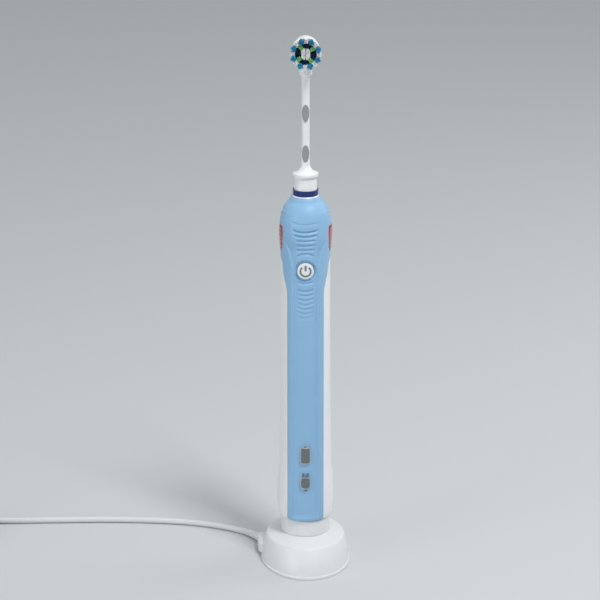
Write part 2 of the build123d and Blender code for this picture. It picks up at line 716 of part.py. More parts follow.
# ---- build -----------------------------------------------------------------------------------
save("charger_housing", make_charger_housing())
save("base_cover", make_base_cover())
make_charger_inside()
save("cord_boot", make_cord_boot())
save("cord_lead", cord_run(LEAD_ROUTE, "lead"))
save("cord_tail", cord_run(TAIL_ROUTE, "tail"))
make_coil()
make_plug()
make_handle_shell()
make_handle_ends()
save("chassis", make_chassis())
make_power()
make_electronics()
make_motor()
make_crank_gear()
make_drive_shaft()
save("button_cap", make_button())
brush_stem = make_brush_stem()
save("brush_stem", brush_stem)
save("colour_ring", tube(RIM_R, 4.6, RING_Z, FERRULE_Z))
make_stem_pads(brush_stem)
make_link()
make_head()
make_tufts()
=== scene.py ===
import logging
import math
from dataclasses import dataclass
from enum import Enum
from typing import Any, Callable, Sequence

import bpy
import numpy as np
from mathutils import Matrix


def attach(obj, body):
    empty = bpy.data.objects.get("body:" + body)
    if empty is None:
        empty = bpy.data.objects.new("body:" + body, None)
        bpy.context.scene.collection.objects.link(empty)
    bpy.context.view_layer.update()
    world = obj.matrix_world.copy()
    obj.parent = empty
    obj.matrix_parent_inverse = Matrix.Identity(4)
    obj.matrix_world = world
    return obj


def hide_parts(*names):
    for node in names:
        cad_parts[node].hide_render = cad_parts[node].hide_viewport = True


# An oscillating electric toothbrush on its inductive charger. Shapes are worked out in
# millimetres in the frame's own axes, and become metres where a mesh is made.

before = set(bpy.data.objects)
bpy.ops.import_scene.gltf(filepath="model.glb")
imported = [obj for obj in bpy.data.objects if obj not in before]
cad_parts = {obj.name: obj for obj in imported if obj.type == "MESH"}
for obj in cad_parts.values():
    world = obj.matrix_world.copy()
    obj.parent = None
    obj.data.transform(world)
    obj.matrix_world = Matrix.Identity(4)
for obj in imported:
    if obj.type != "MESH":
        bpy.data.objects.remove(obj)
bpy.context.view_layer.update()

MM = 0.001
CRISP_DEG = 38.0                    # edges that turn more than this stay crisp
LOG = logging.getLogger("toothbrush")

# A wave texture repeats this many times per unit at a scale of one.
WAVE_RATIO = 6.2

Array = np.ndarray


# ---- curves and surfaces ---------------------------------------------------------------------
def monotone(knots: Sequence[float], values: Sequence[float]) -> Callable[[Array], Array]:
    """A smooth curve through points that never overshoots between them.

    Between two knots the value is a cubic. Its slope at a knot is the harmonic mean of the two
    straight slopes beside it, or zero where they differ in sign.

    Args:
        knots: increasing positions.
        values: the value at each knot.

    Returns:
        A function of an array of positions.
    """
    x = np.asarray(knots, float)
    y = np.asarray(values, float)
    step = np.diff(x)
    slope = np.diff(y) / step
    product = slope[:-1] * slope[1:]
    total = slope[:-1] + slope[1:]
    inner = np.where(product > 0, 2 * product / np.where(product > 0, total, 1.0), 0.0)
    tangent = np.concatenate([slope[:1], inner, slope[-1:]])

    def curve(at: Array) -> Array:
        """The curve's value, held level past its two ends."""
        p = np.clip(np.asarray(at, float), x[0], x[-1])
        k = np.clip(np.searchsorted(x, p, side="right") - 1, 0, len(x) - 2)
        t = (p - x[k]) / step[k]
        rise = t * t * (3 - 2 * t)
        bend_in = t * (1 - t) ** 2 * step[k] * tangent[k]
        bend_out = -t * t * (1 - t) * step[k] * tangent[k + 1]
        return y[k] * (1 - rise) + y[k + 1] * rise + bend_in + bend_out

    return curve


def ease(low: float, high: float, at: Array) -> Array:
    """Zero below low, one above high, and a smooth step between them."""
    t = np.clip((np.asarray(at, float) - low) / (high - low), 0.0, 1.0)
    return t * t * (3 - 2 * t)


def rounded(corners: Sequence[tuple[float, float, float]], steps: int = 6) -> Array:
    """An open outline whose corners are replaced by arcs.

    Each corner is drawn as a quadratic curve that starts and ends its radius away from the corner,
    along the two sides that meet there.

    Args:
        corners: position and radius of each corner, with no radius at the ends.
        steps: segments in each arc.

    Returns:
        The outline's points, one row each.
    """
    points = [np.array(corners[0][:2], float)]
    t = np.linspace(0, 1, steps + 1)[:, None]
    for before, here, after in zip(corners, corners[1:], corners[2:]):
        corner = np.array(here[:2], float)
        if here[2] <= 0:
            points.append(corner)
            continue
        inward = np.array(before[:2]) - corner
        outward = np.array(after[:2]) - corner
        start = corner + inward * min(0.5, here[2] / np.linalg.norm(inward))
        end = corner + outward * min(0.5, here[2] / np.linalg.norm(outward))
        points.extend(start * (1 - t) ** 2 + corner * 2 * t * (1 - t) + end * t ** 2)
    points.append(np.array(corners[-1][:2], float))
    return np.array(points)


def lathe(profile: Array, x: float, z: float, around: int = 64) -> Array:
    """Rings of a shape turned about an axis along Y: each profile point is (radius, y)."""
    angle = np.linspace(0, 2 * np.pi, around, endpoint=False)
    rings_x = x + profile[:, :1] * np.cos(angle)
    rings_z = z + profile[:, :1] * np.sin(angle)
    return np.stack([rings_x, np.broadcast_to(profile[:, 1:], rings_x.shape), rings_z], axis=-1)


def squircle(half_a: Array, half_b: Array, power: float, around: int) -> tuple[Array, Array]:
    """A superellipse: each coordinate is its half size times a cosine or sine to the 2/power."""
    angle = np.linspace(0, 2 * np.pi, around, endpoint=False)
    cosine, sine = np.cos(angle), np.sin(angle)
    a = np.sign(cosine) * np.abs(cosine) ** (2 / power)
    b = np.sign(sine) * np.abs(sine) ** (2 / power)
    return np.asarray(half_a)[:, None] * a, np.asarray(half_b)[:, None] * b


def sweep(path: Array, section: Array, up: tuple[float, float, float], closed: bool = False) -> Array:
    """Rings of a section carried along a path.

    At each path point the section's first coordinate goes along the cross product of the tangent
    and the up direction, and its second along the cross product of that and the tangent.

    Args:
        path: points of the path, one row each.
        section: points (a, b) of the section, or one such set for each path point.
        up: a direction that is never along the path.
        closed: whether the path's end joins its start.

    Returns:
        Rings of points.
    """
    if closed:
        tangent = np.roll(path, -1, axis=0) - np.roll(path, 1, axis=0)
    else:
        tangent = np.gradient(path, axis=0)
    tangent /= np.linalg.norm(tangent, axis=1, keepdims=True)
    side = np.cross(tangent, np.array(up, float))
    side /= np.linalg.norm(side, axis=1, keepdims=True)
    top = np.cross(side, tangent)
    shapes = np.broadcast_to(section, (len(path),) + section.shape[-2:])
    return path[:, None] + shapes[..., :1] * side[:, None] + shapes[..., 1:] * top[:, None]


def circle(radius: float, around: int) -> Array:
    """Points of a circle, one row each."""
    angle = np.linspace(0, 2 * np.pi, around, endpoint=False)
    return radius * np.stack([np.cos(angle), np.sin(angle)], axis=-1)


def grid_mesh(
    name: str, rings: Array, ring_closed: bool = False, sharp: float = CRISP_DEG,
) -> bpy.types.Mesh:
    """A closed mesh from rings of points in millimetres.

    Point j of a ring joins point j of the next ring and point j + 1 of its own. Either the last
    ring joins the first one, or a flat cap closes each end. The signed volume tells whether the
    faces look outwards, and they are turned round if it is negative.

    Args:
        name: the mesh's name.
        rings: array of rings, points and coordinates.
        ring_closed: whether the last ring joins the first one.
        sharp: edges that turn more than this many degrees stay crisp.

    Returns:
        The mesh, in metres.
    """
    count, around = rings.shape[:2]
    i = np.arange(count if ring_closed else count - 1)[:, None] * around
    j = np.arange(around)[None, :]
    here, there = j, (j + 1) % around
    above = (i + around) % (count * around)
    quads = np.stack([i + here, i + there, above + there, above + here], axis=-1).reshape(-1, 4)
    faces = quads.tolist()
    if not ring_closed:
        faces.append(list(range(around))[::-1])
        faces.append(list(range((count - 1) * around, count * around)))
    points = rings.reshape(-1, 3) * MM
    return finished_mesh(name, points, faces, sharp)


def finished_mesh(name: str, points: Array, faces: list, sharp: float) -> bpy.types.Mesh:
    """A mesh with its faces outwards, smooth except at its sharp edges."""
    mesh = bpy.data.meshes.new(name)
    mesh.from_pydata(points.tolist(), [], faces)
    mesh.validate()
    mesh.calc_loop_triangles()
    corners = np.zeros(len(mesh.loop_triangles) * 3, np.int32)
    mesh.loop_triangles.foreach_get("vertices", corners)
    a, b, c = (points[corners.reshape(-1, 3)[:, k]] for k in range(3))
    volume = np.einsum("ij,ij->i", a, np.cross(b, c)).sum()
    if volume < 0:
        mesh.flip_normals()
    mesh.shade_smooth()
    mesh.set_sharp_from_angle(angle=math.radians(sharp))
    mesh.update()
    return mesh


# ---- finishes --------------------------------------------------------------------------------
def linear(colour: str) -> tuple[float, float, float, float]:
    """An sRGB hex colour as linear red, green, blue and full alpha."""
    parts = np.array([int(colour[k:k + 2], 16) for k in (1, 3, 5)]) / 255.0
    low = parts / 12.92
    high = ((parts + 0.055) / 1.055) ** 2.4
    red, green, blue = np.where(parts <= 0.04045, low, high)
    return (float(red), float(green), float(blue), 1.0)


def add_node(
    tree: bpy.types.NodeTree, kind: str, sockets: dict[Any, Any], **settings: Any,
) -> bpy.types.Node:
    """Add a node, set its properties, and set or link its inputs.

    Args:
        tree: the material's node tree.
        kind: the node's type name.
        sockets: a value or another node's output for each named or numbered input.
        settings: properties of the node.

    Returns:
        The node.
    """
    node = tree.nodes.new(kind)
    for key, value in settings.items():
        setattr(node, key, value)
    for key, value in sockets.items():
        if isinstance(value, bpy.types.NodeSocket):
            tree.links.new(value, node.inputs[key])
        else:
            node.inputs[key].default_value = value
    return node


class Texture(Enum):
    """How a surface was made, which decides its pattern."""

    MOULDED = "even spark-eroded grain"
    BRUSHED = "fine lines round the vertical axis"
    WOUND = "turns of wire up the vertical axis"
    LONGWISE = "streaks up the vertical axis"
    # Painted highlight: a filament's outer half is painted lighter, where the tips catch the light.
    FILAMENT_TIP_HIGHLIGHT = "lighter tips on drawn filaments"


# How much finer than its grain a pattern is drawn along X, Y and Z.
STRETCH = {
    Texture.BRUSHED: (1.0, 1.0, 9.0),
    Texture.LONGWISE: (6.0, 6.0, 0.4),
}


@dataclass(frozen=True)
class Finish:
    """One material: its real substance, how it was made, and what that gives the eye."""

    name: str
    slot: str
    colour: str
    # On filaments the colour drifted towards is a painted highlight: the lighter tips where they catch
    # the light.
    tone_or_tip_highlight: str                       # the colour that it drifts towards
    roughness: float
    texture: Texture = Texture.MOULDED
    grain_mm: float = 0.5
    depth_mm: float = 0.01
    drift_mm: float = 14.0
    roughness_spread: float = 0.06
    ior: float = 1.5
    metallic: float = 0.0
    coat: float = 0.0
    scatter: float = 0.0
    sheen: float = 0.0

    def pattern(self, tree: bpy.types.NodeTree, place: bpy.types.NodeSocket) -> bpy.types.NodeSocket:
        """The output that drives roughness and bump."""
        per_metre = 1.0 / (self.grain_mm * MM)
        if self.texture is Texture.WOUND:
            bands = {"Vector": place, "Scale": per_metre / WAVE_RATIO, "Distortion": 0.3}
            wave = add_node(tree, "ShaderNodeTexWave", bands, wave_type="BANDS", bands_direction="Z")
            return wave.outputs["Fac"]
        stretch = STRETCH.get(self.texture, (1.0, 1.0, 1.0))
        mapped = add_node(tree, "ShaderNodeMapping", {"Vector": place, "Scale": stretch})
        noise = add_node(
            tree, "ShaderNodeTexNoise",
            {"Vector": mapped.outputs["Vector"], "Scale": per_metre, "Detail": 3.0,
             "Roughness": 0.55},
        )
        return noise.outputs["Fac"]

    def drift_or_tip_highlight(self, tree: bpy.types.NodeTree, place: bpy.types.NodeSocket) -> bpy.types.NodeSocket:
        """What leads from the colour to its second colour: a slow noise, or a filament's outer half,
        which gets the painted highlight of its tips.
        """
        if self.texture is Texture.FILAMENT_TIP_HIGHLIGHT:
            along = add_node(tree, "ShaderNodeAttribute", {}, attribute_name="along").outputs["Fac"]
            return add_node(tree, "ShaderNodeMapRange", {0: along, 1: 0.55}).outputs[0]
        slow = {"Vector": place, "Scale": 1.0 / (self.drift_mm * MM), "Detail": 2.0}
        return add_node(tree, "ShaderNodeTexNoise", slow).outputs["Fac"]

    def material(self) -> bpy.types.Material:
        """The material, made once and then shared.

        Returns:
            A material with drifting colour, uneven gloss and a fine bump.
        """
        found = bpy.data.materials.get(self.name)
        if found:
            return found
        made = bpy.data.materials.new(self.name)
        made.use_nodes = True
        tree = made.node_tree
        shader = tree.nodes["Principled BSDF"]
        place = add_node(tree, "ShaderNodeTexCoord", {}).outputs["Object"]
        pattern = self.pattern(tree, place)
        drift_or_tip_highlight = self.drift_or_tip_highlight(tree, place)
        mixed = add_node(
            tree, "ShaderNodeMix", {0: drift_or_tip_highlight, 6: linear(self.colour), 7: linear(self.tone_or_tip_highlight)},
            data_type="RGBA",
        ).outputs[2]
        tree.links.new(mixed, shader.inputs["Base Color"])
        gloss = add_node(
            tree, "ShaderNodeMapRange",
            {0: pattern, 1: 0.3, 2: 0.7, 3: max(0.02, self.roughness - self.roughness_spread),
             4: self.roughness + self.roughness_spread},
        ).outputs[0]
        tree.links.new(gloss, shader.inputs["Roughness"])
        relief = {"Strength": 0.6, "Distance": self.depth_mm * MM, "Height": pattern}
        bump = add_node(tree, "ShaderNodeBump", relief).outputs["Normal"]
        tree.links.new(bump, shader.inputs["Normal"])
        plain = {
            "IOR": self.ior, "Metallic": self.metallic, "Coat Weight": self.coat,
            "Coat Roughness": 0.12, "Subsurface Weight": self.scatter,
            "Subsurface Radius": (1.0, 0.9, 0.8),
            "Subsurface Scale": 0.6 * MM, "Sheen Weight": self.sheen,
        }
        for socket, value in plain.items():
            shader.inputs[socket].default_value = value
        return made


# Injection-moulded ABS, mirror-polished tool: bright, with soft-edged reflections.
WHITE_ABS = Finish("abs_white_moulded", "white_abs", "#f1f2f2", "#eceeee", 0.3, grain_mm=0.8,
                   depth_mm=0.001, roughness_spread=0.03, coat=0.15, scatter=0.02)
# Charger ABS from a fine spark-eroded tool: a wide, soft highlight.
CHARGER_ABS = Finish("abs_white_satin", "white_abs", "#e8eaeb", "#e1e3e4", 0.38, grain_mm=0.7,
                     depth_mm=0.008, scatter=0.12)
# Over-moulded thermoplastic elastomer: satin, with a powdery sheen. Its grain is drawn at 0.6 mm,
# coarser than the real 0.1 mm, so that it can be seen.
BLUE_TPE = Finish("elastomer_blue_satin", "blue_soft_touch", "#93bfe2", "#8bb8dd", 0.46, grain_mm=0.6,
                  depth_mm=0.012, sheen=0.12, scatter=0.06)
# Polished ABS button.
BUTTON_ABS = Finish("abs_button_polished", "button_white", "#eff2f3", "#e6eaec", 0.2, grain_mm=0.6,
                    depth_mm=0.003, coat=0.3, scatter=0.1)
# Smoked polycarbonate light pipe: grey from outside, with a hard gloss.
SMOKED_PC = Finish("polycarbonate_smoked", "smoked_window", "#6b7072", "#5f6467", 0.18, grain_mm=0.5,
                   depth_mm=0.003, ior=1.585, coat=0.3)
# Red transparent polycarbonate over a dark recess.
RED_PC = Finish("polycarbonate_red", "red_window", "#c21a34", "#8c1026", 0.16, grain_mm=0.6,
                depth_mm=0.003, ior=1.585, coat=0.5, scatter=0.25)
# Polished coloured polypropylene ring.
NAVY_PP = Finish("polypropylene_navy", "navy_plastic", "#052a78", "#041e5c", 0.16, grain_mm=0.5,
                 depth_mm=0.002, ior=1.46, coat=0.2)
# Pad-printed grey ink, slightly chalky.
GREY_INK = Finish("ink_grey_pad_printed", "grey_print", "#66727b", "#7a868d", 0.5, grain_mm=0.3,
                  depth_mm=0.004)
# Grey elastomer pads on the stem.
PAD_TPE = Finish("elastomer_grey_pad", "grey_print", "#8b8d8e", "#a2a4a4", 0.36, grain_mm=0.4,
                 depth_mm=0.006)
# Pale rim round the charge marks.
PALE_TRIM = Finish("abs_pale_trim", "white_abs", "#b9c4cc", "#aab6c0", 0.3, grain_mm=0.4,
                   depth_mm=0.002)
# Unpainted inner mouldings: plain and matt.
INNER_ABS = Finish("abs_inner_grey", "inner_plastic", "#9a9da1", "#8a8d92", 0.5, depth_mm=0.01)
# Ground stainless steel: rings of fine grinding lines.
GROUND_STEEL = Finish("stainless_steel_ground", "steel", "#c3c4c6", "#b2b4b7", 0.27, Texture.BRUSHED,
                      grain_mm=0.25, depth_mm=0.004, metallic=1.0)
# Oil-filled sintered bronze: porous and matt.
SINTERED_BRONZE = Finish("bronze_sintered", "bronze", "#b58a4e", "#9d7440", 0.48, grain_mm=0.25,
                         depth_mm=0.02, metallic=1.0)
# Enamelled copper wire, 0.3 mm, wound side by side.
COPPER_WIRE = Finish("copper_wire_enamelled", "copper_winding", "#c0733c", "#a65c2c", 0.25,
                     Texture.WOUND, grain_mm=0.3, depth_mm=0.08, metallic=1.0, coat=0.5)
# Pressed and fired ferrite: dark, matt and a little gritty.
FERRITE = Finish("ferrite_sintered", "ferrite", "#3c3b3c", "#2e2d2f", 0.62, grain_mm=0.3,
                 depth_mm=0.02)
# Glass-epoxy board under green solder mask.
SOLDER_MASK = Finish("epoxy_board_green", "circuit_board", "#1c6b3d", "#145530", 0.34, grain_mm=0.35,
                     depth_mm=0.01, coat=0.4)
# Moulded black rubber: dark and dull, with a faint bloom.
BLACK_RUBBER = Finish("rubber_black_matt", "black_rubber", "#303030", "#262626", 0.68, grain_mm=0.3,
                      depth_mm=0.02, sheen=0.1)
# Transfer-moulded component resin: dark, a little smoother than the rubber.
BLACK_EPOXY = Finish("epoxy_component_black", "component_black", "#2b2b2d", "#232325", 0.52,
                     grain_mm=0.25, depth_mm=0.01)
# Shrink sleeve round the cell: glossy film with slight long creases.
CELL_SLEEVE = Finish("shrink_sleeve_green", "battery_sleeve", "#2f7f5c", "#276f50", 0.22,
                     Texture.LONGWISE, grain_mm=1.2, depth_mm=0.02, coat=0.4)
# Drawn steel with a bright zinc plate.
PLATED_STEEL = Finish("steel_zinc_plated", "motor_steel", "#b9bcbf", "#a7aaae", 0.3, Texture.BRUSHED,
                      grain_mm=0.4, depth_mm=0.006, metallic=1.0)
# Undyed moulded nylon: creamy, and light comes through its edges.
GEAR_NYLON = Finish("nylon_gear_natural", "gear_nylon", "#e3ddcc", "#d8d1be", 0.4, grain_mm=0.4,
                    depth_mm=0.006, scatter=0.3)
# Extruded PVC sheath: satin, faint streaks.
CORD_PVC = Finish("pvc_sheath_white", "cord_pvc", "#dfe1e2", "#d6d8d9", 0.42, grain_mm=0.9,
                  depth_mm=0.012, scatter=0.08)
# Drawn nylon filaments with end-rounded tips; their outer half is painted lighter, a painted highlight
# where the tips catch the light.
NYLON_BLUE = Finish("nylon_filament_blue", "bristle_blue", "#0f74a6", "#3aa6d4", 0.3,
                    Texture.FILAMENT_TIP_HIGHLIGHT, scatter=0.15)
NYLON_WHITE = Finish("nylon_filament_white", "bristle_white", "#f2f7f8", "#ffffff", 0.3,
                     Texture.FILAMENT_TIP_HIGHLIGHT, scatter=0.25)
NYLON_GREEN = Finish("nylon_filament_green", "bristle_green", "#2f8f37", "#86dc84", 0.3,
                     Texture.FILAMENT_TIP_HIGHLIGHT, scatter=0.15)
NYLON_NAVY = Finish("nylon_filament_navy", "bristle_navy", "#060d33", "#14265e", 0.3,
                    Texture.FILAMENT_TIP_HIGHLIGHT, scatter=0.1)

# The CAD nodes that keep their own shape, by the finish that each one gets.
FRAME_FINISHES: dict[Finish, tuple[str, ...]] = {
    SMOKED_PC: ("battery_window", "plug_window"),
    INNER_ABS: ("chassis", "pickup_bobbin", "primary_bobbin", "bottom_cap", "link_socket"),
    GROUND_STEEL: ("drive_shaft", "rotor_shaft", "crank_pin", "gear_axle", "head_pin", "link_rod"),
    SINTERED_BRONZE: ("shaft_bush_lower", "shaft_bush_upper"),
    COPPER_WIRE: ("pickup_coil", "primary_coil"),
    FERRITE: ("ferrite_core",),
    SOLDER_MASK: ("circuit_board", "charger_board"),
    BLACK_RUBBER: ("shaft_seal", "cap_seal"),
    BLACK_EPOXY: ("controller_chip", "drive_transistor", "filter_capacitor", "tact_switch"),
    CELL_SLEEVE: ("battery_cell",),
    PLATED_STEEL: ("motor_can", "battery_contacts"),
    GEAR_NYLON: ("crank_gear", "pinion", "rocker_fork"),
    WHITE_ABS: ("battery_led", "charge_led"),
}

# The CAD nodes that keep their shape but are shown as a smooth-shaded copy.
SMOOTHED: dict[str, tuple[Finish, str]] = {
    "brush_stem": (WHITE_ABS, "brush"),
    "colour_ring": (NAVY_PP, "brush"),
    "stem_pad_lower": (PAD_TPE, "brush"),
    "stem_pad_upper": (PAD_TPE, "brush"),
    "head_disc": (WHITE_ABS, "head"),
    "neck_cap": (WHITE_ABS, "handle"),
}


# ---- placing ---------------------------------------------------------------------------------
def show(mesh: bpy.types.Mesh, body: str, finish: Finish, *nodes: str) -> bpy.types.Object:
    """Put a mesh in the scene as a piece that rides on a body.

    Args:
        mesh: the finished mesh, in the frame's place.
        body: the body that it moves with.
        finish: its material.
        nodes: CAD nodes that it stands for.

    Returns:
        The piece.
    """
    piece = bpy.data.objects.new(mesh.name, mesh)
    bpy.context.scene.collection.objects.link(piece)
    dress(piece, body, finish, *nodes)
    return piece


def dress(piece: bpy.types.Object, body: str, finish: Finish, *nodes: str) -> None:
    """Give a piece its material and body, and hide the CAD nodes that it stands for."""
    piece.data.materials.clear()
    piece.data.materials.append(finish.material())
    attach(piece, body)
    if nodes:
        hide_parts(*nodes)
    LOG.info("%s rides on %s in %s", piece.name, body, finish.name)


def smooth_copy(source: bpy.types.Object, name: str, sharp: float = 32.0) -> bpy.types.Mesh:
    """A CAD node's mesh with its loose triangles joined and its round faces shaded smooth."""
    corners = np.zeros(len(source.data.vertices) * 3)
    source.data.vertices.foreach_get("co", corners)
    corners = corners.reshape(-1, 3)
    source.data.calc_loop_triangles()
    triangles = np.zeros(len(source.data.loop_triangles) * 3, np.int32)
    source.data.loop_triangles.foreach_get("vertices", triangles)
    micron = 1.0e-6
    _, first, joined = np.unique(
        np.round(corners / micron).astype(np.int64), axis=0, return_index=True, return_inverse=True,
    )
    faces = joined.ravel()[triangles.reshape(-1, 3)]
    a, b, c = faces.T
    faces = faces[(a != b) & (b != c) & (c != a)]
    return finished_mesh(name, corners[first], faces.tolist(), sharp)


def cut(piece: bpy.types.Object, tool_mesh: bpy.types.Mesh) -> None:
    """Cut a closed tool shape out of a closed piece, and leave no modifier behind."""
    tool = bpy.data.objects.new(tool_mesh.name, tool_mesh)
    bpy.context.scene.collection.objects.link(tool)
    modifier = piece.modifiers.new("cut", "BOOLEAN")
    modifier.object = tool
    modifier.operation = "DIFFERENCE"
    modifier.solver = "MANIFOLD"
    bpy.context.view_layer.update()
    evaluated = piece.evaluated_get(bpy.context.evaluated_depsgraph_get())
    result = bpy.data.meshes.new_from_object(evaluated)
    piece.modifiers.clear()
    old = piece.data
    result.name = piece.name
    piece.data = result
    bpy.data.meshes.remove(old)
    bpy.data.objects.remove(tool)
    bpy.data.meshes.remove(tool_mesh)
    result.shade_smooth()
    result.set_sharp_from_angle(angle=math.radians(CRISP_DEG))


# ---- camera, light and floor -----------------------------------------------------------------
@dataclass(frozen=True)
class Lamp:
    """A square soft light that faces the object: its place and size in metres, its power in watts."""

    name: str
    place: tuple[float, float, float]
    size: float
    power: float

    def hang(self, aim: tuple[float, float, float]) -> None:
        """Put the light in the scene, turned towards a point."""
        data = bpy.data.lights.new(self.name, "AREA")
        data.size = self.size
        data.energy = self.power
        lamp = bpy.data.objects.new(self.name, data)
        ray = np.array(aim) - np.array(self.place)
        yaw = math.atan2(ray[1], ray[0]) - math.pi / 2
        tilt = math.pi / 2 + math.atan2(ray[2], math.hypot(ray[0], ray[1]))
        lamp.location = self.place
        lamp.rotation_euler = (tilt, 0.0, yaw)
        bpy.context.scene.collection.objects.link(lamp)


@dataclass
class Studio:
    """Camera, soft lights and a pale floor."""

    camera_mm: tuple[float, float, float] = (-2.7, -1200.0, 525.0)
    pitch: float = 17.915               # degrees below level
    lens_mm: float = 154.1
    lit_point: tuple[float, float, float] = (0.0, 0.0, 0.13)
    lamps: tuple[Lamp, ...] = (
        Lamp("key_upper_right", (0.42, -0.62, 1.3), 0.3, 10.0),
        Lamp("fill_left", (-1.2, -0.95, 0.4), 0.7, 5.0),
        Lamp("rim_right", (0.9, 0.35, 0.6), 0.5, 2.0),
        Lamp("overhead", (0.1, 0.4, 2.6), 3.2, 15.0),
    )
    floor_half: float = 6000.0
    floor_thick: float = 10.0
    floor_gap: float = 0.05             # below the object, so that no faces coincide
    floor_colour: str = "#ccd0d2"
    sky_colour: str = "#f2f5f8"
    sky_strength: float = 0.4

    def camera(self) -> None:
        """Make the camera and set it on the scene."""
        data = bpy.data.cameras.new("camera")
        data.lens = self.lens_mm
        data.sensor_width = 36.0
        data.clip_end = 30.0
        camera = bpy.data.objects.new("camera", data)
        camera.location = [value * MM for value in self.camera_mm]
        camera.rotation_euler = (math.radians(90.0 - self.pitch), 0.0, 0.0)
        bpy.context.scene.collection.objects.link(camera)
        bpy.context.scene.camera = camera

    def floor(self) -> None:
        """A thin matt slab under everything."""
        half = self.floor_half
        section = np.array([(-half, -half), (half, -half), (half, half), (-half, half)])
        heights = (-self.floor_thick, -self.floor_gap)
        rings = np.stack([np.c_[section, np.full(4, height)] for height in heights])
        slab = bpy.data.objects.new("floor", grid_mesh("floor", rings))
        paper = Finish("paper_backdrop_pale", "", self.floor_colour, self.floor_colour, 0.8,
                       grain_mm=1.5, drift_mm=400.0)
        slab.data.materials.append(paper.material())
        bpy.context.scene.collection.objects.link(slab)

    def build(self) -> None:
        """Make camera, lights, sky and floor."""
        self.camera()
        self.floor()
        for lamp in self.lamps:
            lamp.hang(self.lit_point)
        world = bpy.data.worlds.new("sky")
        world.use_nodes = True
        background = world.node_tree.nodes["Background"]
        background.inputs["Color"].default_value = linear(self.sky_colour)
        background.inputs["Strength"].default_value = self.sky_strength
        bpy.context.scene.world = world
        bpy.context.scene.view_settings.view_transform = "Standard"


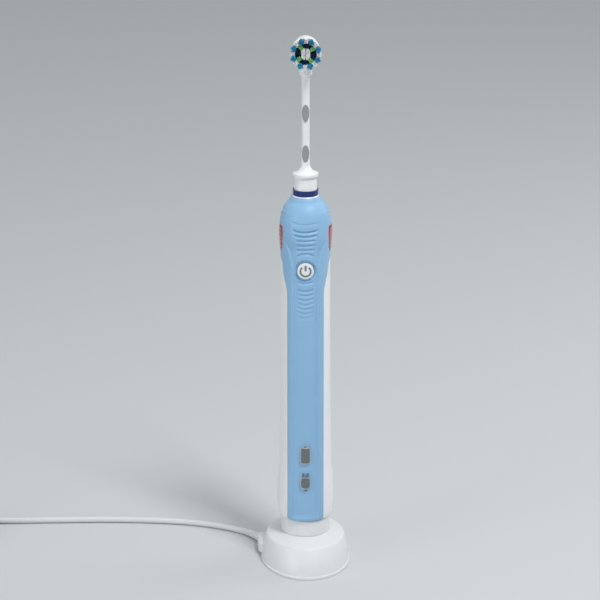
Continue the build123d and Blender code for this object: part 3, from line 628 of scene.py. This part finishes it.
# ---- cord and plug ---------------------------------------------------------------------------
@dataclass
class Cord:
    """Mains lead: strain relief, free lead, the wound length with its tie, and the flat plug."""

    diameter: float = 3.0
    outlet: tuple[float, float, float] = (-22.6, 16.2, 3.5)
    boot_bend: tuple[float, float, float] = (-26.0, 25.6, 1.9)
    boot_end: tuple[float, float, float] = (-33.0, 30.6, 1.5)
    boot_radius: float = 2.15
    boot_taper: float = 0.5
    boot_ribs: float = 6.5
    boot_groove: float = 0.22
    coil_centre: tuple[float, float] = (-189.0, 23.2)
    coil_radius: float = 16.5
    coil_low: float = 2.0               # height of the lowest layer's middle
    turn_gap: float = 3.1               # from one turn's middle to the next one's
    turns: float = 8.25
    per_turn: int = 20
    crossing: float = 0.27              # share of a turn in which it eases to the next place
    plug_x: float = -210.5
    plug_z: float = 6.9
    boot_y: float = -6.8                # where the plug's own strain relief starts
    relief_length: float = 10.4
    relief_radius: float = 1.9          # at the cord; twice that at the plug
    relief_ribs: int = 5
    relief_groove: float = 0.35
    plug_back: float = -16.8
    plug_face: float = -38.8
    pin_spacing: float = 18.6
    pin_radius: float = 2.0
    pin_length: float = 19.0
    sleeve_length: float = 10.0
    sleeve_t: float = 0.12
    length_m: float = 1.04

    def lead(self) -> list[tuple[float, float, float]]:
        """The given route from the strain relief to the coil."""
        return [
            self.boot_end,
            (-40.6, 35.2, 1.5),
            (-50.8, 39.2, 1.5),
            (-64.0, 42.6, 1.5),
            (-82.0, 44.8, 1.5),
            (-104.0, 45.6, 1.5),
            (-128.0, 45.0, 1.5),
            (-150.0, 44.0, 1.5),
            (-170.0, 43.7, 1.7),
            (-184.0, 42.6, 2.0),
        ]

    def tail(self) -> list[tuple[float, float, float]]:
        """The given route from the coil to the plug."""
        return [
            (-208.5, 19.2, 8.2),
            (-208.6, 11.2, 8.1),
            (-209.3, 2.2, 7.6),
            (self.plug_x, self.boot_y, self.plug_z),
            (self.plug_x, self.boot_y - 3.0, self.plug_z),
        ]

    def coil(self) -> list[tuple[float, float, float]]:
        """The wound turns.

        The winding's section is three turns wide and three high. The lead fills one place of it for
        about two thirds of a turn and then eases across to the next place beside it. It goes round
        anticlockwise, seen from above, from the side farthest from the front.
        """
        out, mid, inner = 1, 0, -1
        places = np.array([
            (out, 0), (mid, 0), (inner, 0), (inner, 1), (inner, 2),
            (mid, 2), (mid, 1), (out, 1), (out, 2),
        ], float)
        spacing = self.turns / len(places)
        turn = np.arange(1, int(self.turns * self.per_turn)) / self.per_turn
        place = np.repeat(places[:1], len(turn), axis=0)
        for k in range(1, len(places)):
            share = ease(k * spacing - self.crossing, k * spacing, turn)[:, None]
            place += share * (places[k] - places[k - 1])
        radius = self.coil_radius + self.turn_gap * place[:, 0]
        angle = np.pi / 2 + 2 * np.pi * turn
        points = np.stack([
            self.coil_centre[0] + radius * np.cos(angle),
            self.coil_centre[1] + radius * np.sin(angle),
            self.coil_low + self.turn_gap * place[:, 1],
        ], axis=-1)
        return [tuple(point) for point in points.tolist()]

    def line(self) -> bpy.types.Object:
        """The whole cord as one smooth curve."""
        points = self.lead() + self.coil() + self.tail()
        curve = bpy.data.curves.new("mains_cord", "CURVE")
        curve.dimensions = "3D"
        curve.bevel_depth = self.diameter / 2 * MM
        curve.bevel_resolution = 4
        curve.use_fill_caps = True
        spline = curve.splines.new("NURBS")
        spline.points.add(len(points) - 1)
        flat = np.c_[np.array(points) * MM, np.ones(len(points))]
        spline.points.foreach_set("co", flat.ravel())
        spline.order_u = 3
        spline.use_endpoint_u = True
        spline.resolution_u = 6
        cord = bpy.data.objects.new("mains_cord", curve)
        bpy.context.scene.collection.objects.link(cord)
        dress(cord, "charger", CORD_PVC, "cord_lead", "cord_coil", "cord_tail")
        return cord

    def boot(self) -> bpy.types.Object:
        """Strain relief: a taper along a curve, with rounded ribs cut round it.

        Its radius falls evenly from the outlet to the cord, less a groove at each of its ribs.
        """
        t = np.linspace(0, 1, 97)[:, None]
        a, b, c = (np.array(p) for p in (self.outlet, self.boot_bend, self.boot_end))
        path = a * (1 - t) ** 2 + b * 2 * t * (1 - t) + c * t ** 2
        along = t[:, 0]
        wave = np.clip(-np.cos(2 * np.pi * self.boot_ribs * along), 0, 1)
        groove = self.boot_groove * wave * ease(0.12, 0.2, along) * (1 - ease(0.88, 0.97, along))
        radius = self.boot_radius - self.boot_taper * along - groove
        section = radius[:, None, None] * circle(1.0, 28)[None]
        mesh = grid_mesh("cord_strain_relief", sweep(path, section, (0, 0, 1)))
        return show(mesh, "charger", CORD_PVC, "cord_boot")

    def plug(self) -> list[bpy.types.Object]:
        """Flat plug body, ribbed boot, and pins with half sleeves."""
        deep = self.plug_back - self.plug_face
        along = np.concatenate([
            np.linspace(0, 11, 26), np.linspace(12, deep - 1, 14),
            deep - 1 + np.sin(np.linspace(0.1, np.pi / 2, 7)),
        ])
        stations = (0, 2, 7, 11, 18, deep)
        wide = monotone(stations, (6.6, 8.6, 15.8, 17.6, 17.2, 16.2))(along)
        high = monotone(stations, (4.6, 5.4, 6.5, 6.8, 6.7, 6.3))(along)
        soften = 1.0 - 0.05 * ease(deep - 1, deep, along)
        x, z = squircle(wide * soften, high * soften, 3.6, 72)
        y = np.broadcast_to(self.plug_back - along[:, None], x.shape)
        rings = np.stack([self.plug_x + x, y, self.plug_z + z], axis=-1)
        pieces = [show(grid_mesh("plug_body_flat", rings), "charger", CORD_PVC, "plug_body")]

        along = np.linspace(0, 1, 61)
        wave = np.clip(np.cos(2 * np.pi * self.relief_ribs * along), 0, 1)
        groove = self.relief_groove * wave * ease(0.05, 0.2, along) * (1 - ease(0.85, 0.98, along))
        radius = self.relief_radius * (1 + along) - groove
        profile = np.c_[radius, self.boot_y - self.relief_length * along]
        boot = lathe(profile, self.plug_x, self.plug_z, 32)
        pieces.append(show(grid_mesh("plug_boot_ribbed", boot), "charger", CORD_PVC, "plug_boot"))

        face, tip = self.plug_face + 0.4, self.plug_face - self.pin_length
        sleeve_end = self.plug_face - self.sleeve_length
        bare = self.pin_radius - self.sleeve_t
        pin = rounded([(0.01, face, 0), (bare, face, 0), (bare, tip, 1.4), (0.01, tip, 0)])
        sleeve = rounded([
            (0.01, face, 0), (self.pin_radius, face, 0), (self.pin_radius, sleeve_end, 0.12),
            (0.01, sleeve_end, 0),
        ])
        for name, side in (("left", -1), ("right", 1)):
            x_mid = self.plug_x + side * self.pin_spacing / 2
            nodes = ("plug_pins",) if side < 0 else ()
            rings = lathe(pin, x_mid, self.plug_z, 32)
            pieces.append(show(grid_mesh("plug_pin_" + name, rings), "charger", GROUND_STEEL, *nodes))
            rings = lathe(sleeve, x_mid, self.plug_z, 32)
            pieces.append(show(grid_mesh("plug_sleeve_" + name, rings), "charger", BLACK_EPOXY))
        return pieces

    def build(self) -> None:
        cord = self.line()
        band = smooth_copy(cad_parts["coil_tie"], "cord_tie")
        tie = show(band, "charger", BLACK_RUBBER, "coil_tie")
        pieces = [self.boot(), tie] + self.plug()


# ---- charger ---------------------------------------------------------------------------------
@dataclass
class Charger:
    """Oval inductive charger: domed housing with pedestal and stud, cord outlet and base plate."""

    turn: float = 5.0                   # degrees about the vertical
    base_a: float = 22.2
    base_b: float = 29.2
    base_t: float = 1.6
    wall: float = 2.0
    roof_low: float = 13.0              # above this the inside is a wall's thickness lower too
    stud_low: float = 25.5
    stud_wall: float = 1.2
    stud_bore: float = 5.05             # largest inner radius of the stud
    outlet_middle: tuple[float, float] = (-19.65, 11.1)
    outlet_half: tuple[float, float] = (3.65, 7.1)
    outlet_high: float = 7.6
    outlet_round: float = 1.8
    # half width, half length and height, up the outside of the housing
    stations: tuple[tuple[float, float, float], ...] = (
        (21.7, 28.7, 1.6), (21.5, 28.2, 4.2), (21.1, 27.3, 7.2), (20.5, 25.9, 10.2),
        (19.9, 24.5, 12.6), (19.6, 23.8, 13.7), (19.25, 23.3, 14.3), (18.7, 22.5, 14.65),
        (17.4, 20.3, 15.05), (15.2, 17.0, 15.5), (13.3, 13.9, 15.85), (12.4, 12.5, 16.0),
        (11.8, 11.8, 16.1), (11.75, 11.75, 16.4), (12.1, 12.1, 16.65), (12.1, 12.1, 18.4),
        (12.1, 12.1, 23.6), (11.95, 11.95, 24.1), (11.5, 11.5, 24.42), (10.9, 10.9, 24.5),
        (7.0, 7.0, 24.5), (6.45, 6.45, 24.62), (6.25, 6.25, 25.0), (6.25, 6.25, 37.4),
        (6.05, 6.05, 38.1), (5.55, 5.55, 38.55), (4.8, 4.8, 38.7), (0.02, 0.02, 38.7),
    )

    def turned(self, points: Array) -> Array:
        """Points turned with the charger about the vertical axis."""
        c, s = math.cos(math.radians(self.turn)), math.sin(math.radians(self.turn))
        x, y = points[..., 0], points[..., 1]
        return np.stack([c * x - s * y, s * x + c * y, points[..., 2]], axis=-1)

    def ovals(self, rows: Array, around: int = 160) -> Array:
        """Rings of ellipses from rows of half width, half length and height."""
        angle = np.linspace(0, 2 * np.pi, around, endpoint=False)
        x = rows[:, :1] * np.cos(angle)
        y = rows[:, 1:2] * np.sin(angle)
        return self.turned(np.stack([x, y, np.broadcast_to(rows[:, 2:], x.shape)], axis=-1))

    def housing(self) -> None:
        """The moulding as a shell: up the outside to the stud's top and down the inside.

        Outside, each coordinate is a monotone curve of the distance along the stations. The inside
        is the same curve, smaller by the wall all round and lower by the wall above the base.
        """
        stations = np.array(self.stations)
        steps = np.linalg.norm(np.diff(stations[:, 1:], axis=0), axis=1) + 1e-3
        along = np.concatenate([[0.0], np.cumsum(steps)])
        fine = np.unique(np.concatenate([
            np.linspace(a, b, 5) for a, b in zip(along[:-1], along[1:])
        ]))
        outer = np.stack([monotone(along, stations[:, k])(fine) for k in range(3)], axis=-1)
        inner = outer[::4].copy()
        inner[:, :2] = np.clip(inner[:, :2] - self.wall, 0.02, None)
        stud = np.clip(inner[:, :2] + self.wall - self.stud_wall, 0.02, self.stud_bore)
        inner[:, :2] = np.where(inner[:, 2:] > self.stud_low, stud, inner[:, :2])
        inner[:, 2] -= np.where(inner[:, 2] > self.roof_low, self.wall, 0.0)
        rings = self.ovals(np.concatenate([inner[::-1], outer]))
        show(grid_mesh("charger_dome", rings, sharp=50.0), "charger", CHARGER_ABS, "charger_housing")

    def outlet(self) -> None:
        """The cord's outlet: a low block whose section shrinks as a quarter circle at its top."""
        top = self.outlet_round
        shoulder = self.outlet_high - top
        arc = shoulder + top * np.sin(np.linspace(0.15, np.pi / 2, 12))
        rise = np.concatenate([np.linspace(self.base_t, shoulder, 8), arc])
        over = np.clip((rise - shoulder) / top, 0, 1)
        draw = top * (1 - np.sqrt(np.clip(1 - over ** 2, 0, 1)))
        x, y = squircle(self.outlet_half[0] - draw, self.outlet_half[1] - draw, 4.0, 64)
        x, y = self.outlet_middle[0] + x, self.outlet_middle[1] + y
        rings = np.stack([x, y, np.broadcast_to(rise[:, None], x.shape)], axis=-1)
        show(grid_mesh("cord_outlet", self.turned(rings)), "charger", CHARGER_ABS)

    def base(self) -> None:
        """The base plate, with a rounded upper edge and a shallow recess underneath."""
        profile = rounded([
            (-6.0, 0.5, 0), (-5.0, 0.5, 0.3), (-4.7, 0.0, 0.2), (0.0, 0.0, 0.3),
            (0.0, self.base_t, 0.55), (-1.2, self.base_t, 0),
        ])
        rows = np.c_[self.base_a + profile[:, 0], self.base_b + profile[:, 0], profile[:, 1]]
        show(grid_mesh("charger_base_plate", self.ovals(rows)), "charger", CHARGER_ABS, "base_cover")

    def build(self) -> None:
        """Make the charger's pieces."""
        self.housing()
        self.outlet()
        self.base()


# ---- handle ----------------------------------------------------------------------------------
@dataclass(frozen=True)
class Groove:
    """A curved finger groove across the front: its middle's height, half width and end rise."""

    height: float
    half: float
    rise: float
    depth: float


@dataclass
class Handle:
    """White shell, soft blue grip with its band, grooves and dish, windows, lights and button."""

    # height, half width and half depth of the oval outline
    stations: tuple[tuple[float, float, float], ...] = (
        (24.6, 12.0, 12.1), (25.3, 13.1, 13.2), (27.6, 13.8, 13.9), (33.0, 14.1, 14.3),
        (41.0, 14.0, 14.3), (50.0, 13.3, 14.1), (62.0, 12.9, 14.0), (80.0, 12.55, 13.9),
        (110.0, 12.3, 13.8), (145.0, 12.2, 13.7), (157.0, 12.15, 13.6), (165.0, 12.45, 13.6),
        (173.0, 12.8, 13.5), (178.5, 12.55, 13.0), (182.5, 11.7, 12.0), (185.5, 10.4, 10.6),
        (187.3, 9.1, 9.2), (188.2, 8.1, 8.1), (189.4, 7.5, 7.5), (190.5, 6.85, 6.85),
    )
    grip_t: float = 2.1
    shell_t: float = 2.8
    grip_half: float = 8.9
    band_depth: float = 0.75
    button_z: float = 155.8
    button_r: float = 4.0
    dish_r: float = 5.7
    dish_depth: float = 1.1
    dish_wall: float = 0.6              # width of the dish's sloping rim
    groove_width: float = 0.42
    groove_run_out: float = 1.75        # how much gentler a groove is below its line than above
    groove_gain: float = 1.8            # turns a groove's listed depth into its cut depth
    strip_high: float = 142.7           # the grip is a plain strip up to here
    flare_high: float = 158.6
    flare_angle: float = 69.0           # degrees round from the front, reached where the flare ends
    wrap_low: float = 157.6
    wrap_high: float = 163.4
    wrap_angle: float = 42.6            # degrees further round, from the wrap upwards
    rib_foot: float = 162.6
    rib_pitch: float = 2.1
    rib_depth: float = 0.3
    seam: float = 0.014                 # radians between grip and shell
    lens_low: float = 163.5
    lens_high: float = 176.5
    button_face: float = -13.3
    button_back: float = -10.6
    mark_radius: float = 2.5
    mark_stroke: float = 0.85
    mark_gap: float = 40.0              # degrees from the top to each end of the broken ring
    mark_half_t: float = 0.09

    def __post_init__(self) -> None:
        """Work out the outline's curves and the grooves."""
        z, half_x, half_y = np.array(self.stations).T
        self.half_x = monotone(z, half_x)
        self.half_y = monotone(z, half_y)
        self.band_edge = monotone(
            (24, 150, 155.8, 159.5, 164.5, 169.0, 172.0), (6.65, 6.65, 6.4, 6.9, 8.1, 9.7, 10.3),
        )
        upper = [
            (178.9, 7.4, 1.2, 0.16), (175.3, 6.7, 0.93, 0.5), (173.1, 6.3, 0.7, 0.52),
            (171.0, 5.5, 0.3, 0.46), (168.7, 5.3, 0.1, 0.4), (166.4, 5.1, -0.1, 0.36),
            (164.4, 4.9, -1.5, 0.34),
        ]
        self.grooves = [Groove(*values) for values in upper]
        self.grooves.append(Groove(149.5, 4.4, 1.0, 0.34))
        for k in range(7):
            self.grooves.append(Groove(145.4 - 2.27 * k, 4.7, 1.1, 0.3 - 0.028 * k))

    def skin(self, angle: Array, z: Array, inset: Array) -> Array:
        """Points of the handle's surface.

        x is the half width times the sine of the angle and y minus the half depth times its cosine,
        where the angle starts at the front and both halves are drawn in by the inset.
        """
        x = (self.half_x(z) - inset) * np.sin(angle)
        y = -(self.half_y(z) - inset) * np.cos(angle)
        return np.stack([x, y, np.broadcast_to(z, x.shape)], axis=-1)

    def grip_angle(self, z: Array) -> Array:
        """Where the grip ends round the side: a strip low down, and past the side near the top."""
        strip = np.arcsin(self.grip_half / self.half_x(np.minimum(z, self.strip_high)))
        flare = ease(self.strip_high, self.flare_high, z) * (np.radians(self.flare_angle) - strip)
        wrap = ease(self.wrap_low, self.wrap_high, z) * np.radians(self.wrap_angle)
        return strip + flare + wrap

    def ribs(self, angle: Array, z: Array) -> Array:
        """Depth of the side ribs: rounded scallops up the flanks, faded out towards front and ends."""
        wave = 0.5 - 0.5 * np.cos(2 * np.pi * (z - self.rib_foot) / self.rib_pitch)
        flank = ease(np.radians(58), np.radians(72), np.abs(angle))
        ends = ease(161.5, 164.5, z) * (1 - ease(184.0, 187.0, z))
        return self.rib_depth * wave * flank * ends

    def relief(self, x: Array, z: Array) -> Array:
        """Depth of the grooves and of the thumb dish below the band, from x and height.

        A groove is a bell across its own curved line, steeper above than below, and fades towards
        its ends. The dish is flat round the button and rises to its rim.
        """
        depth = np.zeros(np.broadcast(x, z).shape)
        for groove in self.grooves:
            middle = groove.height + groove.rise * (x / groove.half) ** 2
            away = z - middle
            width = self.groove_width * np.where(away > 0, 1.0, self.groove_run_out)
            fade = 1 - ease(groove.half * 0.72, groove.half, np.abs(x))
            depth += self.groove_gain * groove.depth * np.exp(-(away / width) ** 2) * fade
        from_button = np.hypot(x, z - self.button_z)
        dish = self.dish_depth * (1 - ease(self.dish_r - self.dish_wall, self.dish_r, from_button))
        return np.where(from_button < self.dish_r, np.maximum(dish, depth * 0.2), depth)

    def grip(self) -> None:
        """The soft grip: one C-shaped ring per height, swept up the handle."""
        z = np.concatenate([
            24.6 + 2.4 * (np.linspace(0, 1, 14) ** 1.5),
            np.linspace(27.6, 128.0, 60),
            np.linspace(128.25, 182.0, 300),
            np.linspace(182.3, 190.5, 40),
        ])[:, None]
        limit = self.grip_angle(z)
        edge = np.minimum(self.band_edge(z), 0.9 * self.half_x(z))
        inner_edge = np.arcsin((edge - 0.45) / self.half_x(z))
        outer_edge = np.minimum(np.arcsin((edge + 0.12) / self.half_x(z)), limit * 0.97)
        across = np.concatenate([
            inner_edge * np.linspace(0, 1, 44)[None],
            inner_edge + (outer_edge - inner_edge) * np.linspace(0, 1, 8)[None, 1:],
            outer_edge + (limit - outer_edge) * (1 - (1 - np.linspace(0, 1, 20)[None, 1:]) ** 1.7),
        ], axis=1)
        angle = np.concatenate([-across[:, :0:-1], across], axis=1)
        x = self.half_x(z) * np.sin(angle)
        band = 1 - ease(0, 1, (np.abs(angle) - inner_edge) / (outer_edge - inner_edge))
        band = self.band_depth * band * ease(26.0, 28.4, z) * (1 - ease(165.0, 171.5, z))
        arc_mm = (limit - np.abs(angle)) * self.half_x(z)
        roll = 0.45 * (1 - np.sqrt(1 - (1 - np.clip(arc_mm / 0.55, 0, 1)) ** 2))
        ends = 0.4 * (1 - ease(24.6, 25.2, z))
        inset = band + self.relief(x, z) + self.ribs(angle, z) + roll + ends
        outer = self.skin(angle, z, inset)
        back = limit * np.linspace(1, -1, 24)[None]
        inner = self.skin(back, z, np.full((len(z), 24), self.grip_t))
        rings = np.concatenate([outer, inner], axis=1)
        grip = show(grid_mesh("soft_grip", rings, sharp=50.0), "handle", BLUE_TPE, "front_grip")
        cut(grip, self.bore())

    def bore(self) -> bpy.types.Mesh:
        """The tool for the button's hole."""
        profile = np.array([(self.button_r + 0.15, -20.0), (self.button_r + 0.15, -9.0)])
        return grid_mesh("button_bore", lathe(profile, 0.0, self.button_z, 96))

    def shell(self) -> None:
        """The hard shell: up its outside and down its inside, sunk where the grip lies on it."""
        z = np.concatenate([
            24.6 + 2.4 * (np.linspace(0, 1, 12) ** 1.5), np.linspace(27.6, 140.0, 60),
            np.linspace(141.0, 188.2, 90),
        ])[:, None]
        limit = self.grip_angle(z)
        start = limit + self.seam
        visible = start + (np.pi - start) * (np.linspace(0, 1, 44)[None] ** 1.3)
        covered = limit * (0.98 - np.linspace(0, 0.98, 16)[None])[:, ::-1]
        side = np.concatenate([covered, visible], axis=1)
        arc_mm = (side - limit) * self.half_x(z)
        roll = 0.3 * (1 - np.sqrt(1 - (1 - np.clip(arc_mm / 0.4, 0, 1)) ** 2))
        foot = 0.4 * (1 - ease(24.6, 25.2, z))
        inset = np.where(arc_mm < 0, self.grip_t - 0.15, roll + foot)
        angle = np.concatenate([side[:, :-1], 2 * np.pi - side[:, :0:-1]], axis=1)
        inset = np.concatenate([inset[:, :-1], inset[:, :0:-1]], axis=1)
        outer = self.skin(angle, z, inset)
        inner = self.skin(angle, z, np.full(angle.shape, self.shell_t))
        rings = np.concatenate([outer, inner[::-1]])
        mesh = grid_mesh("handle_shell", rings, ring_closed=True, sharp=50.0)
        cut(show(mesh, "handle", WHITE_ABS, "rear_housing"), self.bore())

    def lights(self) -> None:
        """The pressure lights: leaf-shaped lenses on both flanks, a little proud of the ribs.

        Each height's ring goes from the leaf's front edge to its back edge over the surface and
        returns below it. The edges follow two curves that meet at the leaf's ends.
        """
        z = np.linspace(self.lens_low, self.lens_high, 70)[:, None]
        heights = (163.4, 165.0, 169.0, 174.0, 176.6)
        front = monotone(heights, (-4.1, -5.2, -6.3, -6.9, -6.2))(z)
        back = monotone(heights, (-1.7, 0.2, 2.4, 2.3, 1.0))(z)
        share = np.linspace(0, 1, 26)[None]
        y = front + (back - front) * share
        angle = np.arccos(np.clip(-y / self.half_y(z), -1, 1))
        crown = np.sqrt(np.clip(1 - (2 * share - 1) ** 4, 0, 1))
        tips = np.sqrt(np.clip(1 - ((z - 170.0) / 6.55) ** 6, 0, 1))
        proud = 0.28 * crown * tips - 0.1
        for name, side in (("left", -1), ("right", 1)):
            outer = self.skin(side * angle, z, 0.35 * self.ribs(angle, z) - proud)
            inner = self.skin(side * angle[:, ::-1], z, np.full(angle.shape, 0.8))
            rings = np.concatenate([outer, inner], axis=1)
            show(grid_mesh("pressure_lens_" + name, rings), "handle", RED_PC, "pressure_light_" + name)

    def icon_frames(self) -> None:
        """Thin pale rims round the charge windows: a round bead swept along each outline."""
        bead = circle(0.2, 10)
        outlines = {
            "battery_rim": (60.4, 2.25, 4.1, 7.0),
            "battery_rim_terminal": (65.0, 0.85, 0.6, 5.0),
            "plug_rim": (45.9, 2.25, 2.8, 3.4),
        }
        for name, (middle, half_w, half_h, power) in outlines.items():
            x, z = squircle(np.array([half_w + 0.12]), np.array([half_h + 0.12]), power, 72)
            height = middle + z[0]
            reach = np.sqrt(1 - (x[0] / self.half_x(height)) ** 2)
            y = -self.half_y(height) * reach - 0.02
            path = np.stack([x[0], y, height], axis=-1)
            rings = sweep(path, bead, (0, 1, 0), closed=True)
            show(grid_mesh(name, rings, ring_closed=True), "handle", PALE_TRIM)

    def button(self) -> None:
        """The button cap with a soft crown, and its raised power mark: a broken ring and a bar."""
        face, back, r = self.button_face, self.button_back, self.button_r
        cap = rounded([
            (0.02, face, 0), (r - 1.2, face + 0.02, 0.8), (r, face + 0.12, 0.35), (r, back, 0.2),
            (0.02, back, 0),
        ], 8)
        rings = lathe(cap, 0.0, self.button_z, 96)
        show(grid_mesh("power_button", rings), "button", BUTTON_ABS, "button_cap")
        gap = np.radians(self.mark_gap)
        turn = np.linspace(gap, 2 * np.pi - gap, 73)
        arc_x, arc_z = self.mark_radius * np.sin(turn), self.mark_radius * np.cos(turn)
        ring = np.stack([arc_x, np.full(73, face), self.button_z + arc_z], axis=-1)
        up = self.button_z + np.linspace(0.2, 2.95, 9)
        bar = np.stack([np.zeros(9), np.full(9, face), up], axis=-1)
        strokes = {
            "power_mark_ring": (ring, self.mark_stroke / 2),
            "power_mark_bar": (bar, 0.48),
        }
        for name, (path, half) in strokes.items():
            a, b = squircle(np.array([self.mark_half_t]), np.array([half]), 5.0, 20)
            section = np.stack([b[0], a[0]], axis=-1)
            show(grid_mesh(name, sweep(path, section, (0, 1, 0))), "button", GREY_INK)

    def build(self) -> None:
        """Make the handle's pieces."""
        self.shell()
        self.grip()
        self.lights()
        self.icon_frames()
        self.button()


# ---- brush head ------------------------------------------------------------------------------
@dataclass(frozen=True)
class TuftRing:
    """Tufts of one colour, evenly spaced round the head."""

    name: str
    node: str
    finish: Finish
    outline: tuple[tuple[float, float], ...]   # corners: across and outward
    radius: float
    start: float                               # degrees clockwise from the top
    count: int
    length: float
    spread: float                              # how far the tips stand out, as a share


@dataclass
class BrushHead:
    """The round head's tufts, filament by filament."""

    centre_z: float = 262.6
    root_y: float = -4.7
    pitch: float = 0.27                        # real filaments are 0.15 mm; drawn coarser to show
    radius: float = 0.145
    stray: float = 0.05                        # how far a tip strays from its place

    def rings(self) -> list[TuftRing]:
        """The five groups of tufts."""
        kite = ((0, 1.45), (1.25, 0.15), (0.5, -1.25), (-0.5, -1.25), (-1.25, 0.15))
        wedge = ((-0.75, 1.1), (0.75, 1.1), (0.95, -1.0), (-0.95, -1.0))
        petal = ((-0.95, 0.95), (0.95, 0.95), (0.8, -0.9), (-0.8, -0.9))
        half = ((-2.6, 0.2), (-1.5, 1.1), (1.5, 1.1), (2.6, 0.2), (2.6, -0.8), (-2.6, -0.8))
        blue, white, green, navy = NYLON_BLUE, NYLON_WHITE, NYLON_GREEN, NYLON_NAVY
        return [
            TuftRing("bristles_blue", "tufts_outer_blue", blue, kite, 5.35, 25.0, 8, 8.0, 0.2),
            TuftRing("bristles_white", "tufts_outer_white", white, wedge, 5.2, 2.5, 8, 7.6, 0.2),
            TuftRing("bristles_navy", "tufts_inner_navy", navy, petal, 3.45, 8.0, 4, 7.2, 0.13),
            TuftRing("bristles_green", "tufts_inner_green", green, petal, 3.45, 53.0, 4, 7.2, 0.13),
            TuftRing("bristles_centre", "tufts_centre", white, half, 0.9, 90.0, 2, 7.2, 0.05),
        ]

    def roots(self, outline: Sequence[tuple[float, float]]) -> Array:
        """A hexagonal lattice of points inside a convex outline.

        A point is kept if it lies on the inner side of every edge of the outline.
        """
        corners = np.array(outline)
        reach = np.abs(corners).max() + self.pitch
        steps = np.arange(-reach, reach, self.pitch)
        u, v = np.meshgrid(steps, steps * math.sqrt(3) / 2)
        u = u + (np.arange(len(steps)) % 2)[:, None] * self.pitch / 2
        points = np.stack([u.ravel(), v.ravel()], axis=-1)
        inside = np.ones(len(points), bool)
        for start, end in zip(corners, np.roll(corners, -1, axis=0)):
            edge, away = end - start, points - start
            inside &= edge[0] * away[:, 1] - edge[1] * away[:, 0] < -0.05 * np.linalg.norm(edge)
        return points[inside]

    def tufts(self, ring: TuftRing, seed: int) -> None:
        """Every filament of one group as one mesh.

        A filament is a thin six-sided rod from its root to a tip that stands a little further out,
        with a rounded end. An attribute runs from zero at the root to one at the tip.
        """
        random = np.random.default_rng(seed)
        local = self.roots(ring.outline)
        turn = np.radians(ring.start + 360.0 * np.arange(ring.count) / ring.count)[:, None]
        lean = 1 + ring.spread
        base_x = ring.radius * np.sin(turn) + local[:, 0] * np.cos(turn) + local[:, 1] * np.sin(turn)
        base_z = ring.radius * np.cos(turn) - local[:, 0] * np.sin(turn) + local[:, 1] * np.cos(turn)
        root = np.stack([base_x.ravel(), np.zeros(base_x.size), base_z.ravel()], axis=-1)
        tip = root * lean
        tip += random.normal(0, self.stray, tip.shape)
        tip[:, 1] = -(ring.length + random.uniform(-0.16, 0.06, len(tip)))
        along = np.array([0.0, 0.5, 0.97, 1.0])
        thick = self.radius * np.array([1.0, 1.0, 0.97, 0.65])
        spine = root[:, None] * (1 - along[:, None]) + tip[:, None] * along[:, None]
        across = circle(1.0, 6)
        offsets = np.stack([across[:, 0], np.zeros(6), across[:, 1]], axis=-1)
        points = spine[:, :, None] + thick[None, :, None, None] * offsets[None, None]
        points += np.array([0.0, self.root_y, self.centre_z])
        count, rows, sides = points.shape[:3]
        i = np.arange(rows - 1)[:, None] * sides
        j = np.arange(sides)[None]
        right = (j + 1) % sides
        one = np.stack([i + j, i + right, i + sides + right, i + sides + j], axis=-1)
        shift = (np.arange(count) * rows * sides)[:, None, None]
        faces = (one.reshape(1, -1, 4) + shift).reshape(-1, 4).tolist()
        caps = np.stack([np.arange(sides)[::-1], np.arange(sides) + (rows - 1) * sides])
        faces += (caps[None] + shift).reshape(-1, sides).tolist()
        mesh = finished_mesh(ring.name, points.reshape(-1, 3) * MM, faces, 60.0)
        attribute = mesh.attributes.new("along", "FLOAT", "POINT")
        values = np.tile(np.repeat(along, sides), count).astype(np.float32)
        attribute.data.foreach_set("value", values)
        show(mesh, "head", ring.finish, ring.node)

    def build(self) -> None:
        """Make every group of tufts."""
        for seed, ring in enumerate(self.rings()):
            self.tufts(ring, seed)


def dress_frame() -> None:
    """Give each kept CAD node its finish, and show the smooth copies of the outer ones."""
    for finish, names in FRAME_FINISHES.items():
        for name in names:
            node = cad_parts[name]
            node.data.materials.clear()
            node.data.materials.append(finish.material())
    for name, (finish, body) in SMOOTHED.items():
        show(smooth_copy(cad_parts[name], name + "_smooth"), body, finish, name)


def main() -> None:
    """Build the scene: camera and cord first, then charger, handle, head and the inner parts."""
    Studio().build()
    Cord().build()
    Charger().build()
    Handle().build()
    BrushHead().build()
    dress_frame()
    LOG.info("all pieces are in place")


if __name__ == "__main__":
    logging.basicConfig(level=logging.INFO, format="%(name)s: %(message)s")
    main()
